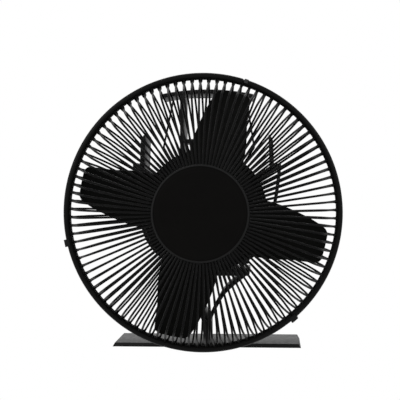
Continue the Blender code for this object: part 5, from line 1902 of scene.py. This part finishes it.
@dataclass
class CarryHandle(Assembly):
    """Wire bail whose bent ends turn in the upright fins, and that leans on the top bar."""

    cold: ColdBody
    wire: float = 0.0014
    length: float = 0.0631
    waist_rise: float = 0.0214
    waist_x: float = 0.0339
    shoulder_x: float = 0.0275
    foot_out: float = 0.0022
    pin_proud: float = 0.001
    bend: float = 0.003
    bend_steps: int = 10
    wire_sides: int = 20
    end_rounding: float = 0.0002

    def build(self) -> None:
        """Make the bail."""
        cold = self.cold
        depth = self.places.cold_back - self.places.cold_front
        behind = depth / 2 + CLEARANCE + self.wire / 2
        bar_low = cold.top_height(self.shoulder_x) - cold.top_bar_thickness
        lean = atan2(behind, bar_low - cold.pivot_rise - self.wire)
        pin = cold.fin_x - cold.upright_thickness / 2 - self.pin_proud
        foot = cold.fin_x + cold.upright_thickness / 2 + self.foot_out
        flat = [
            (pin, 0.0), (foot, 0.0), (self.waist_x, self.waist_rise), (self.shoulder_x, self.length),
            (-self.shoulder_x, self.length), (-self.waist_x, self.waist_rise), (-foot, 0.0), (-pin, 0.0),
        ]
        middle = Vector(cold.pivot())
        bent = bent_path(flat, self.bend, self.bend_steps)
        path = [middle + Vector((point.x, point.y * sin(lean), point.y * cos(lean))) for point in bent]
        handle = Shape().wire(path, self.wire / 2, self.wire_sides, self.end_rounding).close("wire_bail")
        self.shop.dress(handle, Slot.HANDLE, Body.HANDLE, ["carry_handle"], Shading.BENT)


# Studio


@dataclass(frozen=True)
class Lamp:
    """A square soft lamp."""

    name: str
    place: Triple
    size: float
    power: float

    def light(self, aim: Vector) -> None:
        """Hang the lamp and turn it to the fan.

        Args:
            aim: Point that it faces.
        """
        data = bpy.data.lights.new(self.name, "AREA")
        data.shape = "SQUARE"
        data.size = self.size
        data.energy = self.power
        lamp = bpy.data.objects.new(self.name, data)
        lamp.location = self.place
        lamp.rotation_euler = (aim - Vector(self.place)).to_track_quat("-Z", "Y").to_euler()
        bpy.context.scene.collection.objects.link(lamp)


@dataclass
class Studio:
    """White surround, pale floor, soft lamps and the camera at the photograph's viewing angle."""

    camera_place: Triple = (0.04755, -0.92907, 0.11967)
    camera_turn: float = 3.323
    camera_tilt: float = -0.830
    camera_roll: float = 0.057
    lens: float = 112.3
    sensor: float = 36.0
    clip_start: float = 0.01
    floor_reach: float = 3.0
    floor_drop: float = 0.0002
    floor_dark: Triple = (0.93, 0.93, 0.93)
    floor_pale: Triple = (0.95, 0.95, 0.95)
    floor_grain: float = 40.0
    surround: float = 0.36
    lamps: tuple[Lamp, ...] = (
        Lamp("key_lamp", (-1.25, -0.85, 0.95), 0.8, 8.6),
        Lamp("fill_lamp", (1.3, -0.7, 0.9), 0.9, 4.0),
        Lamp("back_lamp", (-0.15, 1.4, 1.3), 0.9, 7.0),
    )

    def build(self) -> None:
        """Set the camera, the lamps, the world and the floor."""
        scene = bpy.context.scene
        scene.view_settings.view_transform = "Standard"
        data = bpy.data.cameras.new("photo_camera")
        data.lens = self.lens
        data.sensor_width = self.sensor
        data.clip_start = self.clip_start
        camera = bpy.data.objects.new("photo_camera", data)
        camera.matrix_world = (
            Matrix.Translation(self.camera_place)
            @ Matrix.Rotation(radians(self.camera_turn), 4, "Z")
            @ Matrix.Rotation(radians(90.0 + self.camera_tilt), 4, "X")
            @ Matrix.Rotation(radians(self.camera_roll), 4, "Z")
        )
        scene.collection.objects.link(camera)
        scene.camera = camera
        aim = (SOLID_BOX[0] + SOLID_BOX[1]) / 2
        for lamp in self.lamps:
            lamp.light(aim)
        self.build_world()
        self.build_floor()

    def build_world(self) -> None:
        """Make a surround that looks white and lights the fan softly."""
        world = bpy.data.worlds.new("white_surround")
        bpy.context.scene.world = world
        world.use_nodes = True
        tree = NodeTree(world.node_tree)
        lit = tree.feed(world.node_tree.nodes["Background"], {"Color": WHITE, "Strength": self.surround})
        tree.divide(lit, tree.add("ShaderNodeBackground", {"Color": WHITE, "Strength": 1.0}), "World Output")

    def build_floor(self) -> None:
        """Make the pale floor, which is plain white to the camera, as in the photograph."""
        reach = self.floor_reach
        bm = bmesh.new()
        corners = rectangle(-reach, reach, -reach, reach)
        bm.faces.new([bm.verts.new((x, y, -self.floor_drop)) for x, y in corners])
        mesh = bpy.data.meshes.new("pale_floor")
        bm.to_mesh(mesh)
        bm.free()
        floor = bpy.data.objects.new("pale_floor", mesh)
        bpy.context.scene.collection.objects.link(floor)
        sheet = NodeSheet("pale_floor")
        tone = sheet.colours(sheet.noise(self.floor_grain), self.floor_dark, self.floor_pale)
        sheet.feed(sheet.shader, {"Base Color": tone, "Roughness": 1.0, "Specular IOR Level": 0.0})
        sheet.divide(sheet.shader, sheet.add("ShaderNodeEmission"), "Material Output")
        mesh.materials.append(sheet.material)


def main() -> None:
    """Build the studio and every piece of the fan."""
    logging.basicConfig(level=logging.INFO, format="%(name)s %(message)s")
    places = Places.from_frame()
    shop = Workshop(Palette(places.axis_height))
    Studio().build()
    cold = ColdBody(shop, places)
    for assembly in (
        HotBody(shop, places), Module(shop, places), Clamp(shop, places), cold, Motor(shop, places),
        Rotor(shop, places), Cage(shop, places, cold.bosses()), CarryHandle(shop, places, cold),
    ):
        log.info("building %s", type(assembly).__name__)
        assembly.build()
    log.info("%d pieces dressed", shop.count)


if __name__ == "__main__":
    main()
